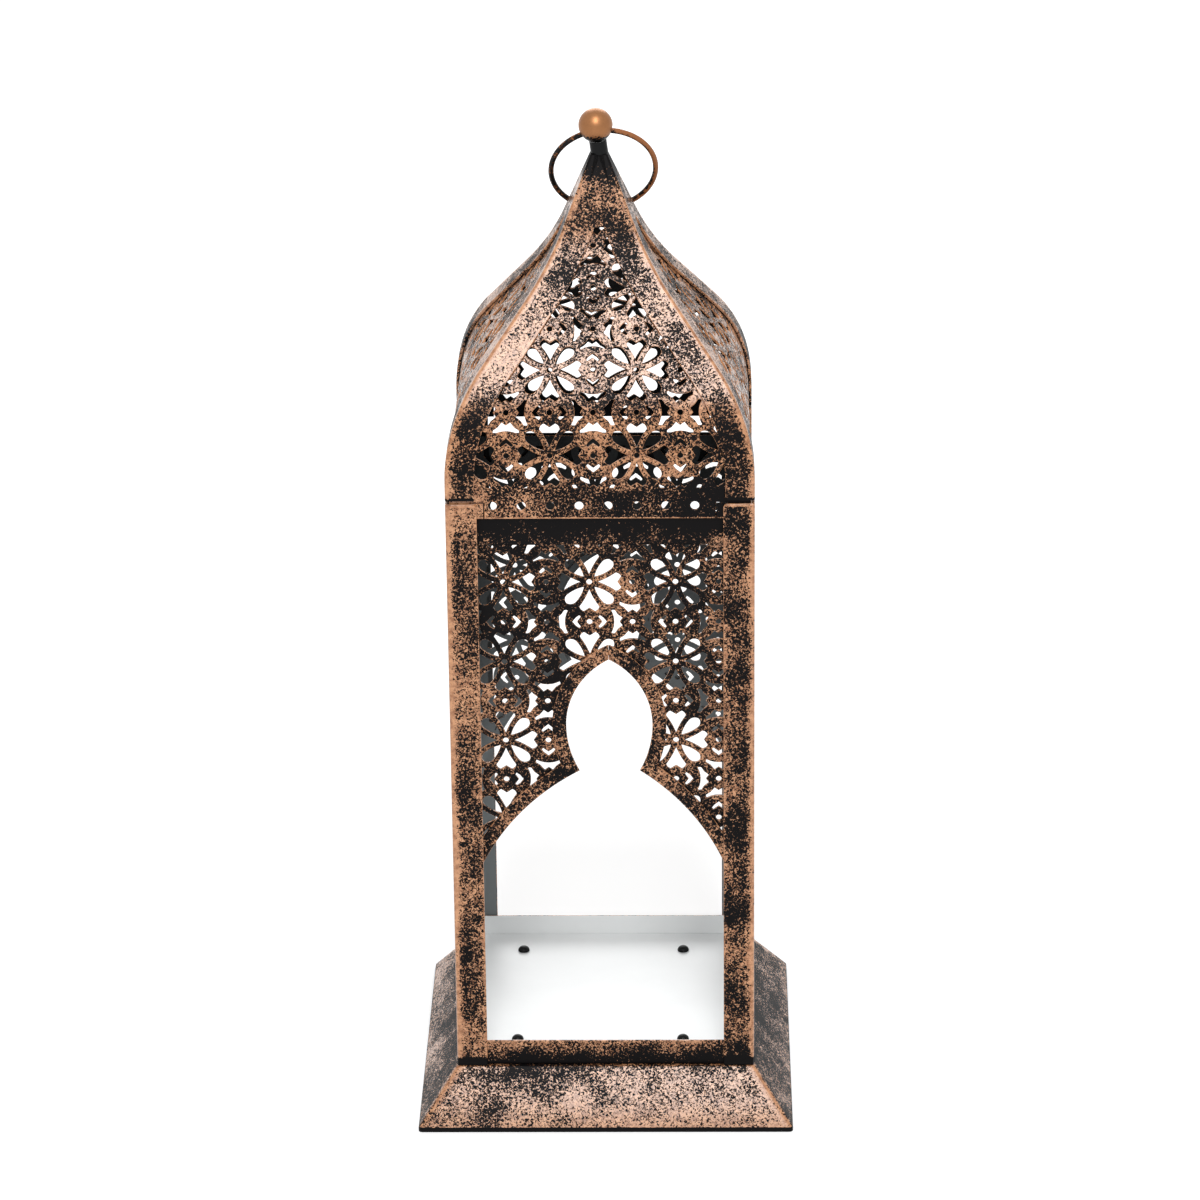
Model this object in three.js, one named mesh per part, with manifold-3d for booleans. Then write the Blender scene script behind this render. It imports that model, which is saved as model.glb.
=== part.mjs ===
// A candle lantern of pierced sheet metal. Four angle posts stand on a sloped base and hold four
// pierced panels with keyhole arches. An ogee roof of pierced sheets and curved ribs closes the top,
// and a ball on its peak carries a loose ring.
// Millimetres, +Z up. The origin is the middle of the underside, and the front faces -Y.

import * as THREE from 'three';
import { mergeVertices } from 'three/addons/utils/BufferGeometryUtils.js';
import Module from 'manifold-3d';

const wasm = await Module();
wasm.setup();

// Sheets and gaps
const sheet = 0.8; // rails, strips, pierced sheets, floor and base
const angleSheet = 1.0; // corner posts and roof ribs
const seat = 0.2; // gap left between sheets that lie on each other
const seam = 0.1; // gap left where two pieces meet edge to edge

// Base
const baseSide = 130;
const baseHeight = 19;
const baseLip = 1.6; // upright edge at the foot of the slope
const baseHem = 5; // edge turned in under the lip

// Body
const bodySide = 103.2; // over the posts
const postHeight = 208.8;
const postLeg = 10.5;
const postCorner = 1.4; // rounding of each leg's free corner
const bottomRailHeight = 9;
const railFlange = 8; // turned in under the floor
const topRailHeight = 11.2;
const topRailDrop = 14.7; // its lower edge, below the posts' tops
const backRailDrop = 22.5; // the same on the back, which leaves a slot under the roof's edge
const panelDrop = 12; // the pierced panel's upper edge, below the posts' tops

// Floor rivets
const rivetAcross = 58;
const rivetDeep = 71;
const rivetShift = -2.1; // they stand a little left of the middle
const rivetShank = 2.4;
const rivetHead = 4.2;
const rivetRise = 1.7;
const rivetTail = 1; // thickness of the tail under the base's top

// Keyhole arch, whose axis stands a little right of the middle
const archShift = 2.4;
const archBulbHalf = 14.6; // half width of the bulb at its widest
const archBulbDrop = 80.8; // from the posts' tops down to the widest place
const archHeadRadius = 27; // from the widest place up to the point
const archNeckRadius = 35.3; // from the widest place down to the cusp
const archNeckDrop = 16.9; // from the widest place down to the cusp
const archFlareRadius = 79; // from the cusp out to the post
const archFlareDrop = 34.2; // from the cusp down to where the flare meets the post's edge
const archStrip = 4.75; // width of the plain strip round the arch
const archTrim = 1.0; // the pierced panel stops this far back from the strip's edge

// Fretwork
const pitch = 28.9; // flower to flower
const panelFlowerX = -3.9; // a flower's centre on the body panel
const panelFlowerDrop = 57.9; // the same centre, below the posts' tops
const backPanelShift = [7.5, -2.9]; // from there to the back panel's own flowers
const roofFlowerX = 12.4; // a flower's centre on the roof sheet
const roofFlowerRise = 17.6; // from the row of round holes up to the first flowers
const backRoofShift = [6.1, -4.4]; // from there to the back sheet's own flowers
const roofFieldDrop = 11.4; // a roof sheet's fretwork stops this far below its first flowers
const panelFieldDrop = 0.9; // the panel's fretwork starts this far below the top rail
const fieldUnder = 1.6; // the fretwork goes on this far under posts, ribs and strips
const smallestHole = 1.2; // square millimetres
const rowHole = 3.0; // diameter in the row of round holes above the eaves
const rowHoleRise = 4.5; // from the roof sheets' lower edge up to the row
const rowHoles = 8;
const rowHoleShift = -2.1; // the row stands a little left of the middle

// Roof
const ribGap = 1.3; // between a post's top and the rib's foot
const ribRise = 105.1; // from the ribs' feet to their tops
const ribLeg = 9.8;
const ribJoinDrop = 22.4; // the ribs' legs meet in the middle of each face from here to their tops
const roofBandDrop = 5.4; // the roof sheets hang down this far below the posts' tops
const eaveRise = 6.7; // upright part above the ribs' feet
const eaveRadius = 57.6;
const slopeAngle = 38.2; // from upright, where the ogee is flattest
const slopeLength = 22.9;
const neckRadius = 94.4;
const neckAngle = 22.2; // from upright, below the peak
const roofSheetReach = 8; // the roof sheets go on this far above the neck's curve
const tabWidth = 2.6; // tabs that show at the ends of the roof sheets' band
const tabHeight = 5.7;
const tabSlit = 0.5;

// Finial and ring
const ballDiameter = 11.6;
const neckDiameter = 5.9;
const neckSink = 1.6; // the neck stands this far below the ribs' tops
const neckRise = 5.2; // from its foot to the ball's underside
const finialLean = 7.5; // towards -X
const leanRise = 1.1; // the point it leans about, above the ribs' tops
const ringRadius = 17.6; // centreline
const ringWire = 1.85;
const ringDrop = 1.9; // the wire's top centreline lies this far below the ball's centre
const ringGap = 0.3; // round the wire, in its hole and on the roof

// What follows from the driving dimensions
const rad = THREE.MathUtils.degToRad;
const bodyHalf = bodySide / 2;
const layer1 = bodyHalf - angleSheet - seat; // outer face of the roof sheets and bottom rails
const layer2 = layer1 - sheet - seat; // outer face of the top rails and arch strips
const layer3 = layer2 - sheet - seat; // outer face of the pierced panels
const openHalf = bodyHalf - postLeg; // half the clear width between the posts
const baseTop = baseHeight + seat;
const postTop = baseTop + postHeight;
const topRailLow = postTop - topRailDrop;
const archBulbHeight = postTop - archBulbDrop;
const archCuspHeight = archBulbHeight - archNeckDrop;
const archFootHeight = archCuspHeight - archFlareDrop;
const roofBandLow = postTop - roofBandDrop;
const rowHoleHeight = roofBandLow + rowHoleRise;
const ribFoot = postTop + ribGap;
const ribTop = ribFoot + ribRise;
const ribJoin = ribTop - ribJoinDrop;
const neckFoot = ribTop - neckSink;
const ballHeight = neckFoot + neckRise + ballDiameter / 2;
const leanHeight = ribTop + leanRise;
const sideNames = ['front', 'right', 'back', 'left'];
const cornerNames = ['front_left', 'front_right', 'back_right', 'back_left'];

const colours = {
  speckled: new THREE.Color('#8a5d42'),
  base: new THREE.Color('#7c5641'),
  floor: new THREE.Color('#bec7c7'),
  black: new THREE.Color('#17191b'),
  copper: new THREE.Color('#c98a58'),
};

// Meshes and solids

function named(name, geometry, color, roughness = 0.45, metalness = 0.7) {
  const mesh = new THREE.Mesh(geometry, new THREE.MeshStandardMaterial({ color, roughness, metalness }));
  mesh.name = name;
  return mesh;
}

function toSolid(geometry) {
  const bare = new THREE.BufferGeometry();
  bare.setAttribute('position', geometry.getAttribute('position'));
  if (geometry.index) bare.setIndex(geometry.index);
  const merged = mergeVertices(bare, 1e-4);
  const index = merged.index.array;
  const triangles = [];
  for (let i = 0; i < index.length; i += 3) {
    const [a, b, c] = [index[i], index[i + 1], index[i + 2]];
    if (a !== b && b !== c && c !== a) triangles.push(a, b, c);
  }
  const vertProperties = new Float32Array(merged.getAttribute('position').array);
  const triVerts = new Uint32Array(triangles);
  return new wasm.Manifold(new wasm.Mesh({ numProp: 3, vertProperties, triVerts }));
}

function toGeometry(solid) {
  const mesh = solid.getMesh();
  const geometry = new THREE.BufferGeometry();
  geometry.setAttribute('position', new THREE.BufferAttribute(new Float32Array(mesh.vertProperties), 3));
  geometry.setIndex(Array.from(mesh.triVerts));
  geometry.computeVertexNormals();
  return geometry;
}

function closedGeometry(points, triangles) {
  const geometry = new THREE.BufferGeometry();
  geometry.setAttribute('position', new THREE.Float32BufferAttribute(points.flat(), 3));
  geometry.setIndex(triangles.flat());
  geometry.computeVertexNormals();
  return geometry;
}

const vector = ([x, y]) => new THREE.Vector2(x, y);
const shapeOf = (outline) => new THREE.Shape(outline.map(vector));

// Outlines drawn on the front face, as [x, z], made into a sheet whose outer face is at -outer
function faceSheet(outlines, outer, depth) {
  const geometry = new THREE.ExtrudeGeometry(outlines.map(shapeOf), { depth, bevelEnabled: false });
  return geometry.rotateX(Math.PI / 2).translate(0, depth - outer, 0);
}

// Sections of equal point count joined one to the next. The outline is the section drawn flat,
// counter-clockwise as seen from the last section
function loft(sections, outline) {
  const size = outline.length;
  const last = (sections.length - 1) * size;
  const cap = THREE.ShapeUtils.triangulateShape(outline.map(vector), []);
  const triangles = cap.flatMap(([a, b, c]) => [[a, c, b], [last + a, last + b, last + c]]);
  for (let i = 0; i < last; i += size) {
    for (let j = 0; j < size; j++) {
      const next = (j + 1) % size;
      triangles.push([i + j, i + next, i + size + next], [i + j, i + size + next, i + size + j]);
    }
  }
  return closedGeometry(sections.flat(), triangles);
}

// A section drawn as [distance from the axis, z] and run across the front, its ends mitred so that
// the same piece on the next side meets it edge to edge
function mitredBar(section) {
  return loft([1, -1].map((end) => section.map(([out, z]) => [end * (out - seam), -out, z])), section);
}

// A section drawn as [half side, z] and turned about the axis in four flat faces
function squareTurn(section) {
  const profile = section.map(([half, z]) => new THREE.Vector2(half * Math.SQRT2, z));
  return new THREE.LatheGeometry(profile, 4, Math.PI / 4).rotateX(Math.PI / 2);
}

function uprightCylinder(radius, low, high, x = 0, y = 0, sides = 12) {
  const geometry = new THREE.CylinderGeometry(radius, radius, high - low, sides).rotateX(Math.PI / 2);
  return geometry.translate(x, y, (low + high) / 2);
}

// Base and floor

const rivetPlaces = [[-1, -1], [1, -1], [1, 1], [-1, 1]].map(([x, y]) => [
  rivetShift + (x * rivetAcross) / 2,
  (y * rivetDeep) / 2,
]);

function withRivetHoles(geometry, low, high) {
  const radius = rivetShank / 2 + seat;
  const holes = rivetPlaces.map(([x, y]) => toSolid(uprightCylinder(radius, low - 1, high + 1, x, y)));
  return toGeometry(holes.reduce((solid, hole) => solid.subtract(hole), toSolid(geometry)));
}

function baseSkirt() {
  const [foot, top] = [baseSide / 2, bodyHalf + seat];
  const [run, rise] = [foot - top, baseHeight - baseLip];
  const slope = Math.hypot(run, rise);
  const [nx, nz] = [rise / slope, run / slope];
  const insideTop = top + (sheet * nz - sheet) / nx;
  const insideLip = baseHeight - (sheet + (foot - sheet - top) * nx) / nz;
  const section = [
    [0, baseHeight - sheet], [insideTop, baseHeight - sheet], [foot - sheet, insideLip],
    [foot - sheet, sheet], [foot - baseHem, sheet], [foot - baseHem, 0],
    [foot, 0], [foot, baseLip], [top, baseHeight], [0, baseHeight],
  ];
  return withRivetHoles(squareTurn(section), baseHeight - sheet, baseHeight);
}

const floorLow = baseTop + sheet + seat;

function floorPlate() {
  const side = 2 * (layer1 - sheet - seat);
  const plate = new THREE.BoxGeometry(side, side, sheet).translate(0, 0, floorLow + sheet / 2);
  return withRivetHoles(plate, floorLow, floorLow + sheet);
}

// A domed head on the floor, a shank through floor and base, and a flattened tail under the base
function floorRivet() {
  const headLow = floorLow + sheet + seat;
  const tailHigh = baseHeight - sheet - seat;
  const [head, shank] = [rivetHead / 2, rivetShank / 2];
  const dome = [0, 1, 2].map((i) => {
    const turn = (i / 3) * (Math.PI / 2);
    return new THREE.Vector2(head * Math.cos(turn), headLow + rivetRise * Math.sin(turn));
  });
  const tail = (shank + head) / 2;
  const tailLow = tailHigh - rivetTail;
  const low = [[0, tailLow], [tail, tailLow], [tail, tailHigh], [shank, tailHigh], [shank, headLow]];
  const top = new THREE.Vector2(0, headLow + rivetRise);
  return new THREE.LatheGeometry([...low.map(vector), ...dome, top], 10).rotateX(Math.PI / 2);
}

// Posts and rails

function cornerPost() {
  const free = [];
  for (let i = 0; i <= 3; i++) {
    const turn = (i / 3) * (Math.PI / 2);
    free.push([postLeg - postCorner * (1 - Math.sin(turn)), postTop - postCorner * (1 - Math.cos(turn))]);
  }
  const leg = [[0, baseTop], [postLeg, baseTop], ...free.reverse(), [0, postTop]];
  const placed = leg.map(([x, z]) => [x - bodyHalf, z]);
  const front = toSolid(faceSheet([placed], bodyHalf, angleSheet));
  return toGeometry(front.add(front.mirror([1, -1, 0])));
}

function bottomRail() {
  const [outer, inner] = [layer1, layer1 - sheet];
  return mitredBar([
    [inner - railFlange, baseTop], [outer, baseTop], [outer, baseTop + bottomRailHeight],
    [inner, baseTop + bottomRailHeight], [inner, baseTop + sheet], [inner - railFlange, baseTop + sheet],
  ]);
}

function topRail(drop) {
  const [outer, inner] = [layer2, layer2 - sheet];
  const [low, high] = [postTop - drop, postTop - drop + topRailHeight];
  return mitredBar([[inner, low], [outer, low], [outer, high], [inner, high]]);
}

// Keyhole arch

// The arch's right or left half, offset outwards, from its axis to the given distance from the middle
function archHalf(side, offset, start, end) {
  const foot = new THREE.Vector2(openHalf - side * archShift, archFootHeight);
  const cusp = new THREE.Vector2(0, archCuspHeight);
  const head = { x: archBulbHalf - archHeadRadius, z: archBulbHeight, r: archHeadRadius + offset };
  const neck = { x: archBulbHalf - archNeckRadius, z: archBulbHeight, r: archNeckRadius + offset };
  cusp.x = neck.x + Math.sqrt(archNeckRadius ** 2 - archNeckDrop ** 2);
  const chord = foot.clone().sub(cusp);
  const reach = Math.sqrt(archFlareRadius ** 2 - chord.lengthSq() / 4);
  const middle = cusp.clone().add(foot).multiplyScalar(0.5);
  const inwards = new THREE.Vector2(chord.y, -chord.x).normalize().multiplyScalar(reach);
  const flare = { x: middle.x + inwards.x, z: middle.y + inwards.y, r: archFlareRadius + offset };
  const corner = whereArcsMeet(neck, flare);
  const top = [start, head.z + Math.sqrt(head.r ** 2 - (start - head.x) ** 2)];
  const widest = [head.x + head.r, head.z];
  const last = end - side * archShift;
  const bottom = [last, flare.z + Math.sqrt(flare.r ** 2 - (last - flare.x) ** 2)];
  const line = [...arcPoints(head, top, widest, 8), ...arcPoints(neck, widest, corner, 5),
    ...arcPoints(flare, corner, bottom, 9), bottom];
  return line.map(([x, z]) => [archShift + side * x, z]);
}

// The upper right meeting point of two circles
function whereArcsMeet(a, b) {
  const between = new THREE.Vector2(b.x - a.x, b.z - a.z);
  const gap = between.length();
  const along = (a.r ** 2 - b.r ** 2 + gap ** 2) / (2 * gap);
  const aside = Math.sqrt(a.r ** 2 - along ** 2);
  const [ux, uz] = [between.x / gap, between.y / gap];
  const way = uz < 0 ? 1 : -1;
  return [a.x + ux * along - way * uz * aside, a.z + uz * along + way * ux * aside];
}

// Points from one place to just before another on a circle
function arcPoints({ x, z, r }, from, to, steps) {
  const [first, last] = [from, to].map(([px, pz]) => Math.atan2(pz - z, px - x));
  return Array.from({ length: steps }, (_, i) => {
    const turn = first + ((last - first) * i) / steps;
    return [x + r * Math.cos(turn), z + r * Math.sin(turn)];
  });
}

function archStripHalf(side) {
  const end = bodyHalf - archStrip;
  const inner = archHalf(side, 0, seam / 2, end);
  const outer = archHalf(side, archStrip, seam / 2, end);
  return faceSheet([[...inner, ...outer.reverse()]], layer2, sheet);
}

// Fretwork

const turned = (outline, degrees, x, z) => {
  const [cos, sin] = [Math.cos(rad(degrees)), Math.sin(rad(degrees))];
  return outline.map(([u, v]) => [x + u * cos - v * sin, z + u * sin + v * cos]);
};

// One flower: four hearts along the axes and four ovals between them
function flower(x, z) {
  const unit = pitch / 28.9; // the outlines are drawn for this pitch
  const scaled = (outline) => outline.map(([u, v]) => [u * unit, v * unit]);
  const heart = scaled([[2.7, 0], [8.9, -3.3], [10.8, -1.8], [9.6, 0], [10.8, 1.8], [8.9, 3.3]]);
  const oval = scaled([[2.5, 0], [7.6, -2], [10.9, 0], [7.6, 2]]);
  return [0, 90, 180, 270].flatMap((degrees) => [
    turned(heart, degrees, x, z),
    turned(oval, degrees + 45, x, z),
  ]);
}

// The flowers of a square grid through the given one that reach into a field of this size
function flowers(first, halfWidth, low, high) {
  const [left, right] = [-halfWidth, halfWidth].map((x) => Math.round((x - first.x) / pitch));
  const [down, up] = [low, high].map((z) => Math.round((z - first.z) / pitch));
  const all = [];
  for (let i = left; i <= right; i++) {
    for (let j = down; j <= up; j++) all.push(...flower(first.x + i * pitch, first.z + j * pitch));
  }
  return all;
}

// Cuts the parts of the outlines that lie in the field, leaving out scraps too small to punch
function pierced(geometry, outlines, field) {
  const through = (list) => toSolid(faceSheet(list, bodySide, bodySide));
  const holes = through(outlines).intersect(through([field])).decompose();
  const kept = holes.filter((hole) => hole.volume() > smallestHole * bodySide);
  return toGeometry(kept.reduce((solid, hole) => solid.subtract(hole), toSolid(geometry)));
}

function fretworkPanel([shift, rise]) {
  const half = layer3 - sheet - seam;
  const edge = openHalf + fieldUnder;
  const archLine = (offset, end) => [
    ...archHalf(-1, offset, 0, end).reverse(),
    ...archHalf(1, offset, 0, end).slice(1),
  ];
  const top = postTop - panelDrop;
  const plate = faceSheet([[...archLine(archTrim, half), [half, top], [-half, top]]], layer3, sheet);
  const fieldTop = topRailLow - panelFieldDrop;
  const field = [...archLine(archTrim + fieldUnder, edge), [edge, fieldTop], [-edge, fieldTop]];
  const first = { x: panelFlowerX + shift, z: postTop - panelFlowerDrop + rise };
  return pierced(plate, flowers(first, edge, archFootHeight, topRailLow), field);
}

// Roof

// The roof's line from the ribs' feet up, moved in by the inset, as stretches of
// [length, angle from upright at its start, angle at its end]
function roofStretches(inset) {
  const [steep, flat] = [rad(neckAngle), rad(slopeAngle)];
  const rise = eaveRise + eaveRadius * Math.sin(flat) + slopeLength * Math.cos(flat)
    + neckRadius * (Math.sin(flat) - Math.sin(steep));
  return [
    [eaveRise, 0, 0],
    [(eaveRadius - inset) * flat, 0, flat],
    [slopeLength, flat, flat],
    [(neckRadius + inset) * (flat - steep), flat, steep],
    [(ribRise - rise) / Math.cos(steep), steep, steep],
  ];
}

// Where the roof's line is after a given length, below the feet too
function roofPoint(length, inset) {
  const at = { out: bodyHalf - inset, z: ribFoot + Math.min(length, 0), angle: 0 };
  let left = Math.max(length, 0);
  for (const [whole, start, end] of roofStretches(inset)) {
    const part = Math.min(left, whole);
    const turn = ((end - start) * part) / whole;
    const chord = turn === 0 ? part : (2 * Math.sin(turn / 2) * part) / turn;
    at.out -= chord * Math.sin(start + turn / 2);
    at.z += chord * Math.cos(start + turn / 2);
    at.angle = start + turn;
    left -= part;
    if (left <= 0) break;
  }
  return at;
}

// The lengths at which the roof's facets meet, from the ribs' feet to the start of the last stretch
function roofStations(inset) {
  const steps = [1, 6, 1, 4];
  const stations = [0];
  steps.forEach((count, i) => {
    const from = stations[stations.length - 1];
    for (let k = 1; k <= count; k++) stations.push(from + (roofStretches(inset)[i][0] * k) / count);
  });
  return stations;
}

const halvings = 30; // steps of the two searches by halving

// The length along the roof's line at which it reaches a height
function roofLengthAt(z, inset) {
  let [low, high] = [0, 2 * ribRise];
  for (let i = 0; i < halvings; i++) {
    const middle = (low + high) / 2;
    if (roofPoint(middle, inset).z < z) low = middle;
    else high = middle;
  }
  return low;
}

// How wide a rib's leg is across the face, which grows a little where the roof is flatter
const legWidth = (angle) => ribLeg * Math.hypot(1, Math.sin(angle));

// An angle strip on the front left corner, to be turned to its own. Its legs widen to meet the
// neighbours' above the opening
function roofRib(quarters) {
  const stations = roofStations(0);
  const whole = roofStretches(0).reduce((sum, [length]) => sum + length, 0);
  const join = roofLengthAt(ribJoin, 0);
  const open = [...stations.filter((length) => length < join - seam), join - seam];
  const closed = [join, ...stations.filter((length) => length > join), whole];
  const rows = [
    ...open.map((length) => ({ length, joined: false })),
    ...closed.map((length) => ({ length, joined: true })),
  ];
  const sections = rows.map(({ length, joined }) => {
    const { out: o, z: high, angle } = roofPoint(length, 0);
    const [i, low] = [o - angleSheet * Math.cos(angle), high - angleSheet * Math.sin(angle)];
    const widest = o - seam / 2;
    const end = (joined ? widest : Math.min(legWidth(angle), widest)) - o;
    return [[-o, -o, high], [end, -o, high], [end, -i, low], [-i, -i, low], [-i, end, low], [-o, end, high]];
  });
  return toGeometry(toSolid(loft(sections, sections[0])).subtract(neckRoom(quarters)));
}

// A pierced sheet that lies under the ribs and hangs down in front of the top rail
function roofSheet([shift, rise]) {
  const inset = angleSheet + seat;
  const under = inset + sheet;
  const band = roofBandLow - ribFoot;
  const lengths = (by) => {
    const stations = roofStations(by);
    return [band, ...stations.slice(1), stations[stations.length - 1] + roofSheetReach];
  };
  const inner = lengths(under).map((length) => roofPoint(length, under));
  const sections = lengths(inset).map((length, k) => {
    const outer = roofPoint(length, inset);
    const [a, b] = [outer.out, inner[k].out];
    const [high, low] = [outer.z, inner[k].z];
    return [[seam - a, -a, high], [a - seam, -a, high], [b - seam, -b, low], [seam - b, -b, low]];
  });
  const plain = pierced(loft(sections, sections[0]), bandCuts(), bandField());
  const first = { x: roofFlowerX + shift, z: rowHoleHeight - ribFoot + roofFlowerRise + rise };
  const bent = (outline) => outline.map(([x, length]) => [x, roofPoint(length, inset).z]);
  const last = lengths(inset).pop();
  const cells = flowers(first, openHalf, first.z, last).map(bent);
  return pierced(plain, cells, roofField(inset, first.z - roofFieldDrop));
}

const holeSides = 8;

// The round holes above the eaves and the slits round the tabs, whose outer ends the posts hide
function bandCuts() {
  const holes = Array.from({ length: rowHoles }, (_, i) => {
    const x = (pitch / 3) * (i - (rowHoles - 1) / 2) + rowHoleShift;
    return Array.from({ length: holeSides }, (_, k) => {
      const turn = ((k + 0.5) / holeSides) * 2 * Math.PI;
      return [x + (rowHole / 2) * Math.cos(turn), rowHoleHeight + (rowHole / 2) * Math.sin(turn)];
    });
  });
  const [inner, outer] = [openHalf - tabWidth, openHalf + fieldUnder];
  const [low, high] = [roofBandLow - 1, roofBandLow + tabHeight];
  const slits = [-1, 1].map((side) => [
    [side * inner, low], [side * inner, high], [side * outer, high], [side * outer, high - tabSlit],
    [side * (inner + tabSlit), high - tabSlit], [side * (inner + tabSlit), low],
  ]);
  return [...holes, ...slits];
}

function bandField() {
  const [half, low, high] = [bodyHalf, roofBandLow - 2, ribFoot + eaveRise];
  return [[-half, low], [half, low], [half, high], [-half, high]];
}

// What shows between the ribs of a face, and a little more under them
function roofField(inset, first) {
  const last = roofLengthAt(ribJoin, inset) + fieldUnder;
  const rows = [first, ...roofStations(inset).filter((length) => length > first && length < last), last];
  const edge = rows.map((length) => {
    const { out, z, angle } = roofPoint(length, inset);
    return [out + inset - legWidth(angle) + fieldUnder, z];
  });
  return [...edge, ...edge.map(([x, z]) => [-x, z]).reverse()];
}

// Finial and ring, built upright about the finial's middle line, then leaned as one

const finialNeckRadius = neckDiameter / 2;

function leaned(...meshes) {
  const inner = new THREE.Group();
  inner.position.z = -leanHeight;
  inner.add(...meshes);
  const outer = new THREE.Group();
  outer.rotation.y = -rad(finialLean);
  outer.position.z = leanHeight;
  outer.add(inner);
  return outer;
}

// The room the neck takes out of a rib's top, seen from that rib, whose rest makes a ledge for it
function neckRoom(quarters) {
  const room = uprightCylinder(finialNeckRadius + seat, neckFoot - seat, ballHeight, 0, 0, 16);
  room.translate(0, 0, -leanHeight).rotateY(-rad(finialLean)).translate(0, 0, leanHeight);
  return toSolid(room.rotateZ((-quarters * Math.PI) / 2));
}

function finialNeck() {
  const dish = ballDiameter / 2 + seat;
  const widest = Math.asin(finialNeckRadius / dish);
  const bowl = [0, 1, 2, 3].map((i) => {
    const turn = widest * (1 - i / 3);
    return new THREE.Vector2(dish * Math.sin(turn), ballHeight - dish * Math.cos(turn));
  });
  const foot = [[0, neckFoot], [finialNeckRadius, neckFoot]].map(vector);
  return new THREE.LatheGeometry([...foot, ...bowl], 16).rotateX(Math.PI / 2);
}

const wireHeight = ballHeight - ringDrop;
const wireRadius = ringWire / 2;
// Inside the ball the wire sags below its top point by this much, and its hole is centred on that
const wireSag = ringRadius - Math.sqrt(ringRadius ** 2 - (ballDiameter / 2) ** 2);
const pivotHeight = wireHeight - wireSag / 2;

function finialBall() {
  const ball = new THREE.SphereGeometry(ballDiameter / 2, 20, 12).rotateX(Math.PI / 2);
  const bore = new THREE.CylinderGeometry(1, 1, ballDiameter * 2, 16).rotateZ(Math.PI / 2);
  const boreRadius = wireRadius + wireSag / 2 + ringGap;
  bore.scale(1, boreRadius, boreRadius).translate(0, 0, pivotHeight);
  return toGeometry(toSolid(ball.translate(0, 0, ballHeight)).subtract(toSolid(bore)));
}

const ringPoints = 90; // tried along the ring

// How far the ring leans back when it rests on the roof's back, found by halving
function ringTilt() {
  const drop = ringRadius - wireSag / 2;
  const clearance = (tilt) => {
    let least = Infinity;
    for (let i = 0; i < ringPoints; i++) {
      const turn = (i / ringPoints) * 2 * Math.PI;
      const below = drop - ringRadius * Math.cos(turn);
      const at = new THREE.Vector3(ringRadius * Math.sin(turn), below * Math.sin(tilt), 0);
      at.z = pivotHeight - below * Math.cos(tilt) - leanHeight;
      at.applyAxisAngle(new THREE.Vector3(0, 1, 0), -rad(finialLean));
      at.z += leanHeight;
      const roof = at.z < ribTop && at.z > ribFoot ? roofPoint(roofLengthAt(at.z, 0), 0) : null;
      if (roof && Math.abs(at.x) < roof.out + wireRadius) {
        least = Math.min(least, (at.y - roof.out) * Math.cos(roof.angle) - wireRadius);
      }
    }
    return least;
  };
  let [low, high] = [0, Math.PI / 2];
  for (let i = 0; i < halvings; i++) {
    const middle = (low + high) / 2;
    if (clearance(middle) < ringGap) low = middle;
    else high = middle;
  }
  return high;
}

function carryRing() {
  const ring = new THREE.TorusGeometry(ringRadius, wireRadius, 8, 48).rotateX(Math.PI / 2);
  ring.translate(0, 0, wireSag / 2 - ringRadius).rotateX(ringTilt());
  return ring.translate(0, 0, pivotHeight);
}

// Assembly

function turnedTo(index, ...meshes) {
  const side = new THREE.Group();
  side.rotation.z = (index * Math.PI) / 2;
  side.add(...meshes);
  return side;
}

const part = new THREE.Group();
part.name = 'lantern';
part.add(named('base_skirt', baseSkirt(), colours.base));
part.add(named('floor_plate', floorPlate(), colours.floor, 0.4));

const rivet = floorRivet();
rivetPlaces.forEach(([x, y], i) => {
  const mesh = named(`floor_rivet_${i + 1}`, rivet, colours.black, 0.5);
  mesh.position.set(x, y, 0);
  part.add(mesh);
});

const shared = {
  post: cornerPost(),
  bottomRail: bottomRail(),
  fretwork: fretworkPanel([0, 0]),
  backFretwork: fretworkPanel(backPanelShift),
  stripLeft: archStripHalf(-1),
  stripRight: archStripHalf(1),
  roofSheet: roofSheet([0, 0]),
  backRoofSheet: roofSheet(backRoofShift),
};

sideNames.forEach((side, i) => {
  const atBack = side === 'back';
  part.add(turnedTo(
    i,
    named(`corner_post_${cornerNames[i]}`, shared.post, colours.speckled),
    named(`bottom_rail_${side}`, shared.bottomRail, colours.speckled),
    named(`top_rail_${side}`, topRail(atBack ? backRailDrop : topRailDrop), colours.black),
    named(`fretwork_${side}`, atBack ? shared.backFretwork : shared.fretwork, colours.speckled),
    named(`arch_strip_${side}_left`, shared.stripLeft, colours.speckled),
    named(`arch_strip_${side}_right`, shared.stripRight, colours.speckled),
    named(`roof_sheet_${side}`, atBack ? shared.backRoofSheet : shared.roofSheet, colours.speckled),
    named(`roof_rib_${cornerNames[i]}`, roofRib(i), colours.speckled),
  ));
});

part.add(leaned(
  named('finial_neck', finialNeck(), colours.black, 0.4),
  named('finial_ball', finialBall(), colours.copper, 0.35, 0.9),
  named('carry_ring', carryRing(), colours.black, 0.4),
));

export default part;
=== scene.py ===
"""A candle lantern of pierced sheet metal, black enamel sponged with copper, dressed for its picture.

Sizes are worked out in millimetres and put into the meshes in metres, in the frame of the solid model:
the origin is the middle of the underside, +Z is up and the front faces -Y.
"""

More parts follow.
